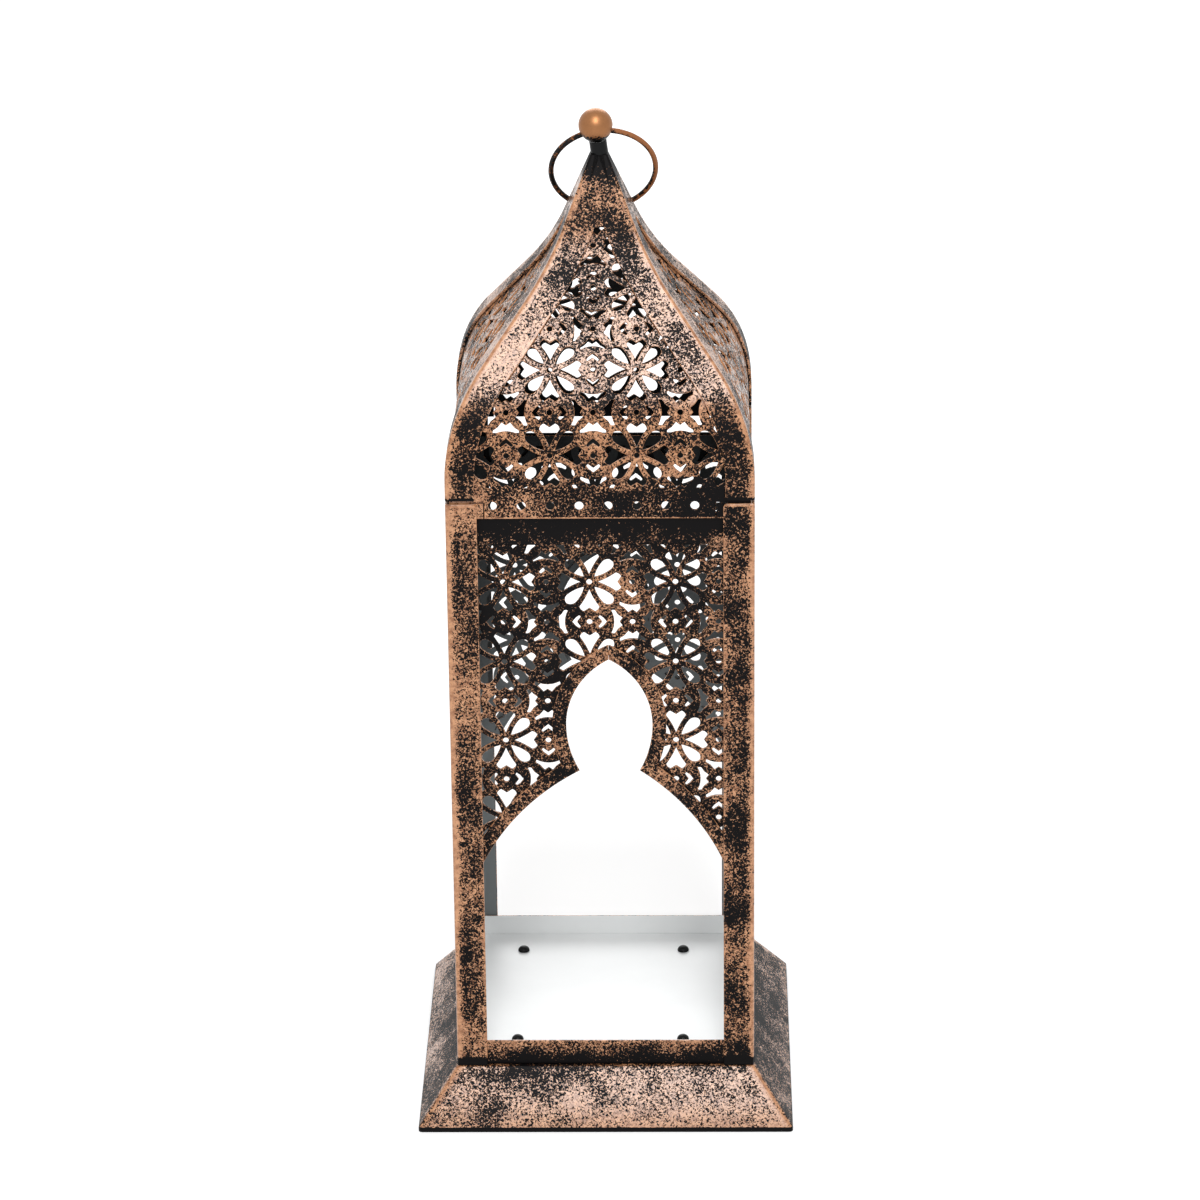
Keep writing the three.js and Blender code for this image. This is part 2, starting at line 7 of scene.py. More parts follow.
import math
from functools import partial
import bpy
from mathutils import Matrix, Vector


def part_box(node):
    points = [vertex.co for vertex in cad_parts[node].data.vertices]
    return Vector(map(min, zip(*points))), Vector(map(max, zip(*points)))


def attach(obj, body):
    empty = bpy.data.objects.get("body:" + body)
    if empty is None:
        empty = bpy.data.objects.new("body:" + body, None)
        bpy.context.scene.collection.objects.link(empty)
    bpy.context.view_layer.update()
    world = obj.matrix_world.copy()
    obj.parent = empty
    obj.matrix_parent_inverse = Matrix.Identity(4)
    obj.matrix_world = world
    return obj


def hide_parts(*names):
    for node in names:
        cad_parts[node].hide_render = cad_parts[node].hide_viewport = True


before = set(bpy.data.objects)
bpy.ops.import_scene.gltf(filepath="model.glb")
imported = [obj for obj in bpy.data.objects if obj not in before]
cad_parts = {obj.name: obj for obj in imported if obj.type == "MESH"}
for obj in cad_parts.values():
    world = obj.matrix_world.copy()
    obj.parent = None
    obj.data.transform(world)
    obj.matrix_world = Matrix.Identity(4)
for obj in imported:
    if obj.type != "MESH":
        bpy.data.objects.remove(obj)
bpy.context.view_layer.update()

from types import SimpleNamespace

import bpy
import numpy as np
from mathutils import Matrix, Vector
from mathutils.geometry import delaunay_2d_cdt

bl_info = {
    "name": "Pierced candle lantern",
    "version": (1, 0, 0),
    "blender": (4, 5, 0),
    "location": "View3D > Sidebar > Lantern",
    "description": "Makes the visible pieces of a pierced sheet-metal candle lantern and its stage",
    "category": "Object",
}

SIDES = ("front", "right", "back", "left")
CORNERS = ("front_left", "front_right", "back_right", "back_left")
POST_LOW, POST_HIGH = np.array(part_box("corner_post_front_left")) * 1000
BASE_HIGH = np.array(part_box("base_skirt")[1]) * 1000
RIB_LOW, RIB_HIGH = np.array(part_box("roof_rib_front_left")) * 1000
FLOOR_HIGH = np.array(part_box("floor_plate")[1]) * 1000
RAIL_LOW, RAIL_HIGH = np.array(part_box("bottom_rail_front")) * 1000
BEAM_LOW, BEAM_HIGH = np.array(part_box("top_rail_front")) * 1000
BACK_BEAM_LOW = np.array(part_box("top_rail_back")[0]) * 1000
PANEL_LOW, PANEL_HIGH = np.array(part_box("fretwork_front")) * 1000
SHEET_LOW = np.array(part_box("roof_sheet_front")[0]) * 1000

# How the meshes are drawn: the points on a bent corner, the angle from which an edge is sharp, and in
# millimetres the gap at a mitre, the slope of a punched edge, how far a pattern goes on under the strip
# beside it, and the pitch for which the fretwork's outlines are written
BEND_POINTS = 4
SHARP_ANGLE = math.radians(32)
MITRE_GAP = 0.1
CHAMFER = 0.13
TUCKED_UNDER = 1.6
DRAWN_PITCH = 28.9


# Properties

def size(description, millimetres, least=0.0):
    """A length property whose default is given in millimetres."""
    return bpy.props.FloatProperty(
        description=description, default=millimetres / 1000, min=least, unit="LENGTH", subtype="DISTANCE")


def place(description, millimetres):
    """A position property, which may be negative, with its default in millimetres."""
    return size(description, millimetres, -1.0)


def tilt(description, degrees):
    """An angle property whose default is given in degrees."""
    return bpy.props.FloatProperty(description=description, default=math.radians(degrees), subtype="ANGLE")


def colour(description, hex_value):
    """A colour property whose default is an sRGB hex value."""
    return bpy.props.FloatVectorProperty(
        description=description, subtype="COLOR", size=4, min=0, max=1, default=linear(hex_value))


def linear(hex_value):
    """An sRGB hex value as linear red, green, blue and alpha: each channel c is c / 12.92 below 0.04045 and
    ((c + 0.055) / 1.055) to the power 2.4 above it."""
    parts = [int(hex_value[i:i + 2], 16) / 255 for i in (1, 3, 5)]
    return (*(c / 12.92 if c <= 0.04045 else ((c + 0.055) / 1.055) ** 2.4 for c in parts), 1.0)


class LanternSizes(bpy.types.PropertyGroup):
    """Lengths of the lantern's visible pieces."""

    sheet: size("Thickness of rails, strips and pierced sheets", PANEL_HIGH[1] - PANEL_LOW[1])
    angle_sheet: size("Thickness of the posts and ribs", 1.0)
    seat: size("Gap between sheets that lie on each other", 0.2)
    post_leg: size("Width of each leg of a corner post", POST_HIGH[0] - POST_LOW[0])
    post_corner: size("Rounding of a post leg's free corner", 1.4)
    fold: size("Outer rounding of a folded angle strip", 0.9)
    edge: size("Rounding of a cut sheet edge", 0.18)
    base_lip: size("Upright edge at the foot of the slope", 1.6)
    base_hem: size("Width of the edge turned in under the lip", 5.0)
    rail_flange: size("Part of the bottom rail turned in under the floor", 8.0)
    rivet_head: size("Diameter of the floor rivets' heads", 4.2)
    rivet_rise: size("Height of the floor rivets' heads", 1.7)
    arch_shift: place("The arch's axis, right of the middle", 2.4)
    arch_bulb: size("Half width of the arch's bulb", 14.6)
    arch_bulb_height: size("Height of the bulb's widest place", 147.2)
    arch_head_radius: size("Radius from the widest place up to the point", 27.0)
    arch_neck_radius: size("Radius from the widest place down to the cusp", 35.3)
    arch_neck_drop: size("Down from the widest place to the cusp", 16.9)
    arch_flare_radius: size("Radius from the cusp out to the post", 79.0)
    arch_flare_drop: size("Down from the cusp to the post", 34.2)
    arch_strip: size("Width of the plain strip round the arch", 4.75)
    pitch: size("From one flower of the fretwork to the next", 28.9)
    panel_flower_x: place("A flower's place across the body panel", -3.9)
    panel_flower_z: size("The same flower's height", 170.1)
    panel_field_drop: size("From the top rail down to the fretwork", 0.9)
    back_panel_shift: place("From there across to the back panel's own flower", 7.5)
    back_panel_rise: place("From there up to the back panel's own flower", -2.9)
    roof_flower_x: place("A flower's place across the roof sheet", 12.4)
    roof_flower_rise: size("From the row of holes up to the first flowers", 17.6)
    back_roof_shift: place("From there across to the back sheet's own flower", 6.1)
    back_roof_rise: place("From there up to the back sheet's own first flowers", -4.4)
    roof_field_drop: size("From a sheet's first flowers down to the fretwork's end", 11.4)
    row_hole: size("Diameter of the holes in the row above the eaves", 3.0)
    row_hole_height: size("Height of the row of round holes", 227.1)
    row_hole_shift: place("The row's middle, right of the sheet's", -2.1)
    rib_leg: size("Width of each leg of a roof rib", 9.8)
    rib_join: size("Height from which the ribs' legs meet", 312.0)
    eave_rise: size("Upright part above the ribs' feet", 6.7)
    eave_radius: size("Radius of the roof's shoulder", 57.6)
    slope_length: size("Straight part of the roof's slope", 22.9)
    neck_radius: size("Radius of the hollow below the peak", 94.4)
    sheet_reach: size("The roof sheets' part above the hollow", 8.0)
    tab_width: size("Visible width of the roof sheets' tabs", 2.6)
    tab_height: size("Height of those tabs", 5.7)
    tab_slit: size("Width of the slit round a tab", 0.4)
    ball: size("Diameter of the finial's ball", 11.6)
    neck: size("Diameter of the finial's neck", 5.9)
    neck_sink: size("The neck's foot, below the ribs' tops", 1.6)
    neck_rise: size("From the neck's foot to the ball's underside", 5.2)
    lean_rise: size("The point the finial leans about, above the ribs' tops", 1.1)
    ring: size("Radius of the carrying ring's wire line", 17.6)
    ring_drop: size("From the ball's centre down to the wire in its hole", 1.9)
    wire: size("Diameter of the ring's wire", 1.85)
    grain: size("Spacing of the copper grains in the paint", 0.7)
    patch: size("Size of the patches where the speckle is denser", 14.0)


class LanternAngles(bpy.types.PropertyGroup):
    """Angles of the roof's line and the finial, from upright."""

    slope: tilt("The roof where it is flattest", 38.2)
    neck_slope: tilt("The roof below its peak", 22.2)
    lean: tilt("The finial's lean to the left", 7.5)
    ring_tilt: tilt("The resting ring's lean to the back", 26.02)


class LanternColours(bpy.types.PropertyGroup):
    """Colours of the lantern's finishes."""

    enamel: colour("Black ground coat under the speckle", "#090708")
    copper: colour("Copper paint of the speckle", "#d39a70")
    copper_dark: colour("Thin or shaded copper paint", "#96603c")
    inside: colour("Plain paint on the inner faces", "#84898a")
    floor_paint: colour("Light satin paint of the floor plate", "#fafcfc")
    black: colour("Plain black paint", "#0c0d0e")
    ball: colour("Satin copper of the ball", "#a6724a")
    backdrop: colour("Plain pale floor of the stage", "#f4f4f4")


def lengths():
    """The lengths of the panel in millimetres, and its angles in radians."""
    scene = bpy.context.scene
    found = {key: getattr(scene.lantern_sizes, key) * 1000 for key in LanternSizes.__annotations__}
    found.update({key: getattr(scene.lantern_angles, key) for key in LanternAngles.__annotations__})
    return SimpleNamespace(**found)


# Meshes

def new_object(name, data):
    """A new object of the scene."""
    made = bpy.data.objects.new(name, data)
    bpy.context.scene.collection.objects.link(made)
    return made


def make_piece(name, points, faces, materials, kinds=None, wear_and_light=0.0, cover=0.0):
    """A mesh object at the origin. Points are in millimetres and kinds gives each face its material. The
    rubbed wear at each point is how far the edges are rubbed down to copper; it also carries painted
    highlights along lit edges and painted shade at feet and under overhangs, where it is negative. Cover is
    how dense the speckle is: the copper attribute is their sum, at 0 half of the surface is copper, at 1
    nearly all of it and at -1 hardly any."""
    mesh = bpy.data.meshes.new(name)
    mesh.from_pydata((np.asarray(points) / 1000).tolist(), [], [list(face) for face in faces])
    for material in materials:
        mesh.materials.append(material)
    if kinds is not None:
        mesh.polygons.foreach_set("material_index", np.asarray(kinds, dtype=np.int32))
    layer = mesh.attributes.new("copper", "FLOAT", "POINT")
    layer.data.foreach_set("value", np.float32(np.zeros(len(points)) + wear_and_light + cover))
    mesh.shade_smooth()
    mesh.set_sharp_from_angle(angle=SHARP_ANGLE)
    mesh.validate()
    mesh.update()
    return new_object(name, mesh)


def settle(piece, slot, *nodes, body="lantern"):
    """Hides the nodes that the piece stands for and attaches it to what it moves with; the slot is not used.
    """
    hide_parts(*nodes)
    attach(piece, body)


def stand(shape, quarter, name, node, spot, lining, cover):
    """Makes a piece from a shape of points, faces, kinds and copper wear with painted light, turned to its
    spot, a side or a corner. It has speckled enamel outside and the lining within."""
    points, faces, kinds, wear_and_light = shape
    points = turned(points, quarter)
    piece = make_piece(f"{name}_{spot}", points, faces, [enamel(), lining], kinds, wear_and_light, cover)
    settle(piece, "speckled_paint", f"{node}_{spot}")


def turned(points, quarters):
    """Points turned by quarter turns about Z."""
    x, y, z = np.moveaxis(np.asarray(points, float), -1, 0)
    for _ in range(quarters):
        x, y = -y, x
    return np.stack([x, y, z], -1)


def leaned(points, height, lean):
    """Points leaned towards -X about a height on the axis."""
    x, y, z = points[..., 0], points[..., 1], points[..., 2] - height
    cos, sin = math.cos(lean), math.sin(lean)
    return np.stack([x * cos - z * sin, y, x * sin + z * cos + height], -1)


def skin(count, around, wrapped=False):
    """Quads of a grid of closed rings, each point joined to the next of its ring and to the next ring."""
    i, j = np.meshgrid(np.arange(count if wrapped else count - 1), np.arange(around), indexing="ij")
    up, side = (i + 1) % count, (j + 1) % around
    corners = [i * around + j, i * around + side, up * around + side, up * around + j]
    return np.stack(corners, -1).reshape(-1, 4)


def capped(rings):
    """The points and faces of a skin over rings, closed by one face at each end."""
    count, around = rings.shape[:2]
    ends = [list(range(around))[::-1], [(count - 1) * around + k for k in range(around)]]
    return rings.reshape(-1, 3), skin(count, around).tolist() + ends


def lathe(profile, around):
    """Rings of a profile of (radius, height) turned about Z."""
    turn = np.arange(around) * 2 * np.pi / around
    radius, height = np.array(profile, float).T
    return np.stack([radius[:, None] * np.cos(turn), radius[:, None] * np.sin(turn),
                     np.repeat(height[:, None], around, 1)], -1)


def square_rings(half, height, radius, inset=2.5):
    """Rings of rounded squares: each corner is a quarter circle of the radius about a point that far inside
    both sides, and two more points on each side stand the inset away from the corners."""
    half, height = half[:, None], height[:, None]
    turn = np.linspace(0, np.pi / 2, 5)[None, :]
    x = half - radius + radius * np.sin(turn)
    y = -half + radius - radius * np.cos(turn)
    x = np.concatenate([half - radius - inset, x, half], axis=1)
    y = np.concatenate([-half, y, -half + radius + inset], axis=1)
    corner = np.stack([x, y, np.broadcast_to(height, x.shape)], -1)
    return np.concatenate([turned(corner, q) for q in range(4)], axis=1)


def rounded(outline, radius):
    """A closed outline whose corners are cut to short arcs: each is the quadratic curve from the point one
    radius before the corner to the point one radius after it, bent towards the corner."""
    outline = np.array(outline, float)
    before, after = np.roll(outline, 1, 0) - outline, np.roll(outline, -1, 0) - outline
    start = outline + before / np.linalg.norm(before, axis=1)[:, None] * radius
    end = outline + after / np.linalg.norm(after, axis=1)[:, None] * radius
    t = np.linspace(0, 1, BEND_POINTS)[None, :, None]
    curve = (1 - t) ** 2 * start[:, None] + 2 * t * (1 - t) * outline[:, None] + t ** 2 * end[:, None]
    return curve.reshape(-1, 2)


def folded(profile, radius):
    """An open profile whose inner corners are bent round, in the same way."""
    profile = np.array(profile, float)
    return np.concatenate([profile[:1], rounded(profile, radius)[BEND_POINTS:-BEND_POINTS], profile[-1:]])


def bar(profile):
    """Rings of a profile of (distance from the axis, height) run across the front, mitred at both ends."""
    out, height = np.array(profile, float).T
    return np.stack([np.stack([end * (out - MITRE_GAP), -out, height], -1) for end in (1, -1)])


# Outlines

def arcs(corners, steps=6):
    """A closed outline of arcs. Each corner is (x, y, bulge), and the arc to the next corner turns by four
    times the arc tangent of the bulge, outwards where it is positive."""
    corners = np.array(corners, float)
    start, bulge = corners[:, :2], corners[:, 2]
    chord = np.roll(start, -1, 0) - start
    half = 2 * np.arctan(np.where(abs(bulge) < 1e-6, 1e-6, bulge))
    t = np.arange(steps) / steps
    swing = half[:, None] * (2 * t - 1)
    along = np.sin(swing) / np.sin(half)[:, None] / 2
    aside = (np.cos(swing) - np.cos(half)[:, None]) / np.sin(half)[:, None] / 2
    right = np.stack([chord[:, 1], -chord[:, 0]], -1)
    middle = (start + chord / 2)[:, None]
    points = middle + along[..., None] * chord[:, None] + aside[..., None] * right[:, None]
    keep = (abs(bulge) > 1e-6)[:, None] | (np.arange(steps) == 0)[None, :]
    return points[keep]


def spun(outline, degrees, x=0.0, y=0.0):
    """An outline turned about its origin and moved."""
    angle = math.radians(degrees)
    cos, sin = math.cos(angle), math.sin(angle)
    across, up = outline.T
    return np.stack([x + across * cos - up * sin, y + across * sin + up * cos], -1)


def mirrored(half, length):
    """A closed outline from its right half and the same mirrored."""
    return np.concatenate([np.stack([half, length], -1), np.stack([-half, length], -1)[::-1]])


def flower_cell(pitch):
    """The holes of one square of the fretwork about its flower: hearts on the axes, ovals between them, a
    dot in the middle, a dot with two chevrons half way to each neighbour, and a dot in four crescents at
    the corner."""
    heart = arcs([(2.7, 0, -0.07), (8.9, -3.35, 0.3), (10.75, -1.9, 0), (9.5, 0, 0), (10.75, 1.9, 0.3),
                  (8.9, 3.35, -0.07)])
    oval = arcs([(2.5, 0, 0.12), (8.1, -2.0, 0.42), (11.0, 0, 0.42), (8.1, 2.0, 0.12)])
    crescent = arcs([(4.3, 0, 0), (3.3, -1.4, 0), (5.0, -2.8, 0), (5.9, -4.2, 0.3), (7.2, -4.1, -0.262),
                     (7.2, 4.1, 0.3), (5.9, 4.2, 0), (5.0, 2.8, 0), (3.3, 1.4, 0)])
    chevron = arcs([(5.9, 0, 0), (4.6, 1.6, 0), (3.5, 2.4, 0), (2.9, 1.8, 0), (4.2, 0, 0), (2.9, -1.8, 0),
                    (3.5, -2.4, 0), (4.6, -1.6, 0)])
    dot = arcs([(1.0, 0, 1), (-1.0, 0, 1)])
    middle = pitch / 2
    holes = [dot, spun(dot, 0, middle, middle), spun(dot, 0, middle, 0), spun(dot, 0, 0, middle)]
    for quarter in range(4):
        holes += [spun(heart, 90 * quarter), spun(oval, 90 * quarter + 45),
                  spun(crescent, 90 * quarter, middle, middle)]
    for way in (-1, 1):
        holes += [spun(chevron, 90 * way, middle, 0), spun(chevron, 90 - 90 * way, 0, middle)]
    return [hole * pitch / DRAWN_PITCH for hole in holes]


def fretwork(pitch, x, y, left, right, low, high):
    """The holes of every square of a grid through (x, y) that reaches into the given field."""
    cell = flower_cell(pitch)
    columns = range(math.floor((left - x) / pitch - 0.5), math.ceil((right - x) / pitch + 0.5) + 1)
    rows = range(math.floor((low - y) / pitch - 0.5), math.ceil((high - y) / pitch + 0.5) + 1)
    holes = [hole + (x + i * pitch, y + j * pitch) for i in columns for j in rows for hole in cell]
    return [h for h in holes if (h.max(0) > (left, low)).all() and (h.min(0) < (right, high)).all()]


def circle_meeting(ax, ay, ar, bx, by, br):
    """The right-hand meeting point of two circles, found from the line between their centres."""
    gap = math.hypot(bx - ax, by - ay)
    along = (ar ** 2 - br ** 2 + gap ** 2) / (2 * gap)
    aside = math.sqrt(ar ** 2 - along ** 2)
    ux, uy = (bx - ax) / gap, (by - ay) / gap
    return max((ax + ux * along - way * uy * aside, ay + uy * along + way * ux * aside) for way in (1, -1))


def arch_half(s, side, offset, end, start=0.0):
    """One half of the keyhole arch moved out by the offset: arcs from the point to the widest place, on to
    the cusp and from there to the post, each about its own centre with the offset added to its radius."""
    height = s.arch_bulb_height
    open_half = -POST_LOW[0] - s.post_leg
    head = s.arch_bulb - s.arch_head_radius
    neck = s.arch_bulb - s.arch_neck_radius
    drop = s.arch_neck_drop
    cusp = np.array([neck + math.sqrt(s.arch_neck_radius ** 2 - drop ** 2), height - drop])
    foot = np.array([open_half - side * s.arch_shift, cusp[1] - s.arch_flare_drop])
    chord = foot - cusp
    reach = math.sqrt(s.arch_flare_radius ** 2 - chord @ chord / 4)
    flare = (cusp + foot) / 2 + np.array([chord[1], -chord[0]]) / np.linalg.norm(chord) * reach
    radius = s.arch_flare_radius + offset
    widest = (s.arch_bulb + offset, height)
    corner = circle_meeting(neck, height, s.arch_neck_radius + offset, *flare, radius)
    last = end - side * s.arch_shift
    bottom = (last, flare[1] + math.sqrt(radius ** 2 - (last - flare[0]) ** 2))
    top = (start, height + math.sqrt((s.arch_head_radius + offset) ** 2 - (start - head) ** 2))
    line = []
    for centre, r, first, final, steps in (((head, height), s.arch_head_radius + offset, top, widest, 28),
                                           ((neck, height), s.arch_neck_radius + offset, widest, corner, 16),
                                           (flare, radius, corner, bottom, 34)):
        a, b = (math.atan2(p[1] - centre[1], p[0] - centre[0]) for p in (first, final))
        turn = np.linspace(a, b, steps, endpoint=False)
        line.append(np.stack([centre[0] + r * np.cos(turn), centre[1] + r * np.sin(turn)], -1))
    line = np.concatenate(line + [np.array([bottom])])
    return np.stack([s.arch_shift + side * line[:, 0], line[:, 1]], -1)


# Pierced sheets

def inside(points, outline):
    """Which points lie in a closed outline, by counting how often a line rightwards from each crosses it."""
    found = np.zeros(len(points), bool)
    near = np.flatnonzero(((points >= outline.min(0)) & (points <= outline.max(0))).all(1))
    if not len(near):
        return found
    x, y = points[near, 0][:, None], points[near, 1][:, None]
    ax, ay = outline.T
    bx, by = np.roll(outline, -1, 0).T
    level = (ay > y) != (by > y)
    with np.errstate(divide="ignore", invalid="ignore"):
        crossing = ax + (y - ay) * (bx - ax) / (by - ay)
    found[near] = (level & (x < crossing)).sum(1) % 2 == 1
    return found


def filled_plan(rim, cuts, holes, field, rows):
    """The points and triangles of a flat sheet: the plane inside the rim, without the cuts and without the
    parts of the holes that lie in the field. The triangles keep to all outlines and to the given rows."""
    outlines = [rim, *cuts, *holes] + ([] if field is None else [field])
    starts = np.cumsum([0] + [len(o) for o in outlines])
    plan = np.concatenate(outlines)
    links = np.concatenate([np.stack([np.arange(n), np.roll(np.arange(n), -1)], -1) + first
                            for first, n in zip(starts, map(len, outlines))])
    if len(rows):
        left, right = rim[:, 0].min(), rim[:, 0].max()
        links = np.concatenate([links, np.arange(2 * len(rows)).reshape(-1, 2) + len(plan)])
        plan = np.concatenate([plan, np.array([(end, v) for v in rows for end in (left - 1, right + 1)])])
    found = delaunay_2d_cdt([Vector(p) for p in plan.tolist()], links.tolist(), [], 0, 1e-5, False)
    plan, triangles = np.array([tuple(v) for v in found[0]]), np.array([list(t) for t in found[2]])
    a, b, c = (plan[triangles[:, k]] for k in range(3))
    turn = (b - a)[:, 0] * (c - a)[:, 1] - (b - a)[:, 1] * (c - a)[:, 0]
    triangles[turn < 0] = triangles[turn < 0][:, ::-1]
    triangles = triangles[abs(turn) > 1e-9]
    middle = plan[triangles].mean(1)
    metal = inside(middle, rim)
    for cut in cuts:
        metal &= ~inside(middle, cut)
    if holes:
        metal &= ~(np.any([inside(middle, hole) for hole in holes], 0) & inside(middle, field))
    used, triangles = np.unique(triangles[metal], return_inverse=True)
    return plan[used], triangles.reshape(-1, 3)


def pierced_sheet(rim, cuts, holes, field, bend, thickness, chamfer, rows=()):
    """The shape of a thin pierced sheet. Each point of its filled plan is bent into place at depth 0 and at
    the full thickness, and the cut edges get a narrow slope and a wall between the two."""
    plan, triangles = filled_plan(rim, cuts, holes, field, rows)
    count = len(plan)
    links = np.concatenate([triangles[:, [0, 1]], triangles[:, [1, 2]], triangles[:, [2, 0]]])
    lone = ~np.isin(links[:, 0] * count + links[:, 1], links[:, 1] * count + links[:, 0])
    start, end = links[lone].T
    along = plan[end] - plan[start]
    out = np.stack([along[:, 1], -along[:, 0]], -1) / np.linalg.norm(along, axis=1)[:, None]
    push = np.zeros((count, 2))
    np.add.at(push, start, out)
    np.add.at(push, end, out)
    push /= np.maximum(np.linalg.norm(push, axis=1), 0.3)[:, None]
    on_cut = np.unique(links[lone])
    ring_of = np.full(count, -1)
    ring_of[on_cut] = count + np.arange(len(on_cut))
    back_of = np.arange(count) + count + len(on_cut)
    points = np.concatenate([bend(plan - push * chamfer, 0.0), bend(plan[on_cut], chamfer),
                             bend(plan, thickness)])
    slope = np.stack([start, ring_of[start], ring_of[end], end], -1)
    wall = np.stack([ring_of[start], back_of[start], back_of[end], ring_of[end]], -1)
    faces = triangles.tolist() + slope.tolist() + wall.tolist() + back_of[triangles[:, ::-1]].tolist()
    kinds = np.repeat([0, 0, 0, 1], [len(triangles), len(slope), len(wall), len(triangles)])
    wear_and_light = np.zeros(len(points))
    wear_and_light[on_cut] = 0.1
    wear_and_light[ring_of[on_cut]] = 0.9
    return points, faces, kinds, wear_and_light


def flat_on(out):
    """A bend that stands the plan upright at a distance in front of the axis."""
    return lambda plan, depth: np.stack([plan[:, 0], np.full(len(plan), depth - out), plan[:, 1]], -1)


# Roof line and folded strips

def roof_line(s, length, inset):
    """The roof's line from the ribs' feet up, moved in by the inset: distance from the axis, height and
    angle from upright. It is a straight stretch, an arc out of upright, a straight slope, an arc back and a
    straight peak. Along each the chord is the length times the sine of half the turn over half the turn."""
    length = np.asarray(length, float)
    out = np.full(length.shape, -RIB_LOW[0] - inset)
    height = RIB_LOW[2] + np.minimum(length, 0)
    angle = np.zeros(length.shape)
    turns = [(s.eave_rise, 0, 0), ((s.eave_radius - inset) * s.slope, 0, s.slope),
             (s.slope_length, s.slope, s.slope),
             ((s.neck_radius + inset) * (s.slope - s.neck_slope), s.slope, s.neck_slope),
             (1000, s.neck_slope, s.neck_slope)]
    begun = 0.0
    for whole, start, end in turns:
        part = np.clip(length - begun, 0, whole)
        turn = (end - start) * part / whole
        chord = part * np.sinc(turn / 2 / np.pi)
        out = out - chord * np.sin(start + turn / 2)
        height = height + chord * np.cos(start + turn / 2)
        angle = np.where(part > 0, start + turn, angle)
        begun += whole
    return out, height, angle


def roof_length_at(s, height, inset):
    """The length along the roof's line at which it reaches a height, read off a fine table of the line."""
    table = np.linspace(0, 200, 4001)
    return np.interp(height, roof_line(s, table, inset)[1], table)


def angle_strip(s, out, height, angle, leg, edge, draw):
    """The shape of a folded strip on the front left corner. Its section goes round the fold as a quarter
    circle, along the outer face of one leg, round its cut edge and back along the inner face, and the other
    leg mirrors it. A depth d moves a point in by d times the cosine of the roof's angle and down by d times
    its sine, and draw is how far every face is drawn into the metal, which rounds the strip's two ends."""
    near_fold, off_fold, near_edge, first_inner = 0.9, 2.4, 1.4, 11
    out, height, angle, leg, edge, draw = (np.broadcast_to(np.asarray(v, float), np.shape(height))[:, None]
                                           for v in (out, height, angle, leg, edge, draw))
    fold, thick = s.fold, s.angle_sheet
    turn = np.linspace(np.pi / 4, np.pi / 2, 4)
    across = [fold * (1 - np.cos(turn)), fold + near_fold, fold + off_fold, leg / 2, leg - near_edge,
              leg - edge, leg, leg, leg - edge, leg / 2, thick * np.cos(angle)]
    deep = [fold * (1 - np.sin(turn)), 0, 0, 0, 0, 0, edge, thick - edge, thick, thick, thick]
    wear_and_light = [1.0, 1.0, 1.0, 1.0, 0.4, 0.0, 0.0, 0.0, 0.3, 0.9, 0.6, 0.0, 0.0, 0.0]
    across, deep = (np.concatenate([part + 0 * out for part in parts], 1) for parts in (across, deep))
    across, deep = np.minimum(across, leg - draw), np.clip(deep, draw, thick - draw)
    first, second = across - out, deep * np.cos(angle) - out
    level = height - deep * np.sin(angle)
    front = np.stack([first, second, level], -1)
    side = np.stack([second, first, level], -1)[:, 1:-1][:, ::-1]
    rings = np.concatenate([front, side], axis=1)
    count, around = rings.shape[:2]
    inner = np.zeros(around, int)
    inner[first_inner:around - first_inner] = 1
    points, faces = capped(rings)
    return points, faces, np.append(np.tile(inner, count - 1), [0, 0]), np.tile(wear_and_light + wear_and_light[1:-1][::-1], count)


# Finishes

def fill(node, inputs):
    """Fills inputs of a node, each with a value or a link."""
    for key, value in inputs.items():
        if isinstance(value, bpy.types.NodeSocket):
            node.id_data.links.new(value, node.inputs[key])
        else:
            node.inputs[key].default_value = value


def add_node(tree, kind, inputs, output=0, **settings):
    """Adds a node, sets its properties, fills its inputs and gives one of its outputs."""
    node = tree.nodes.new("ShaderNode" + kind)
    for key, value in settings.items():
        setattr(node, key, value)
    fill(node, inputs)
    return node.outputs[output]


def new_finish(name, **shader):
    """A material with its shader's plain values, a call that adds to it, the shader and the place on the
    piece."""
    material = bpy.data.materials.new(name)
    material.use_nodes = True
    add = partial(add_node, material.node_tree)
    surface = material.node_tree.nodes["Principled BSDF"]
    fill(surface, {key.replace("_", " "): value for key, value in shader.items()})
    return material, add, surface, add("TexCoord", {}, "Object")


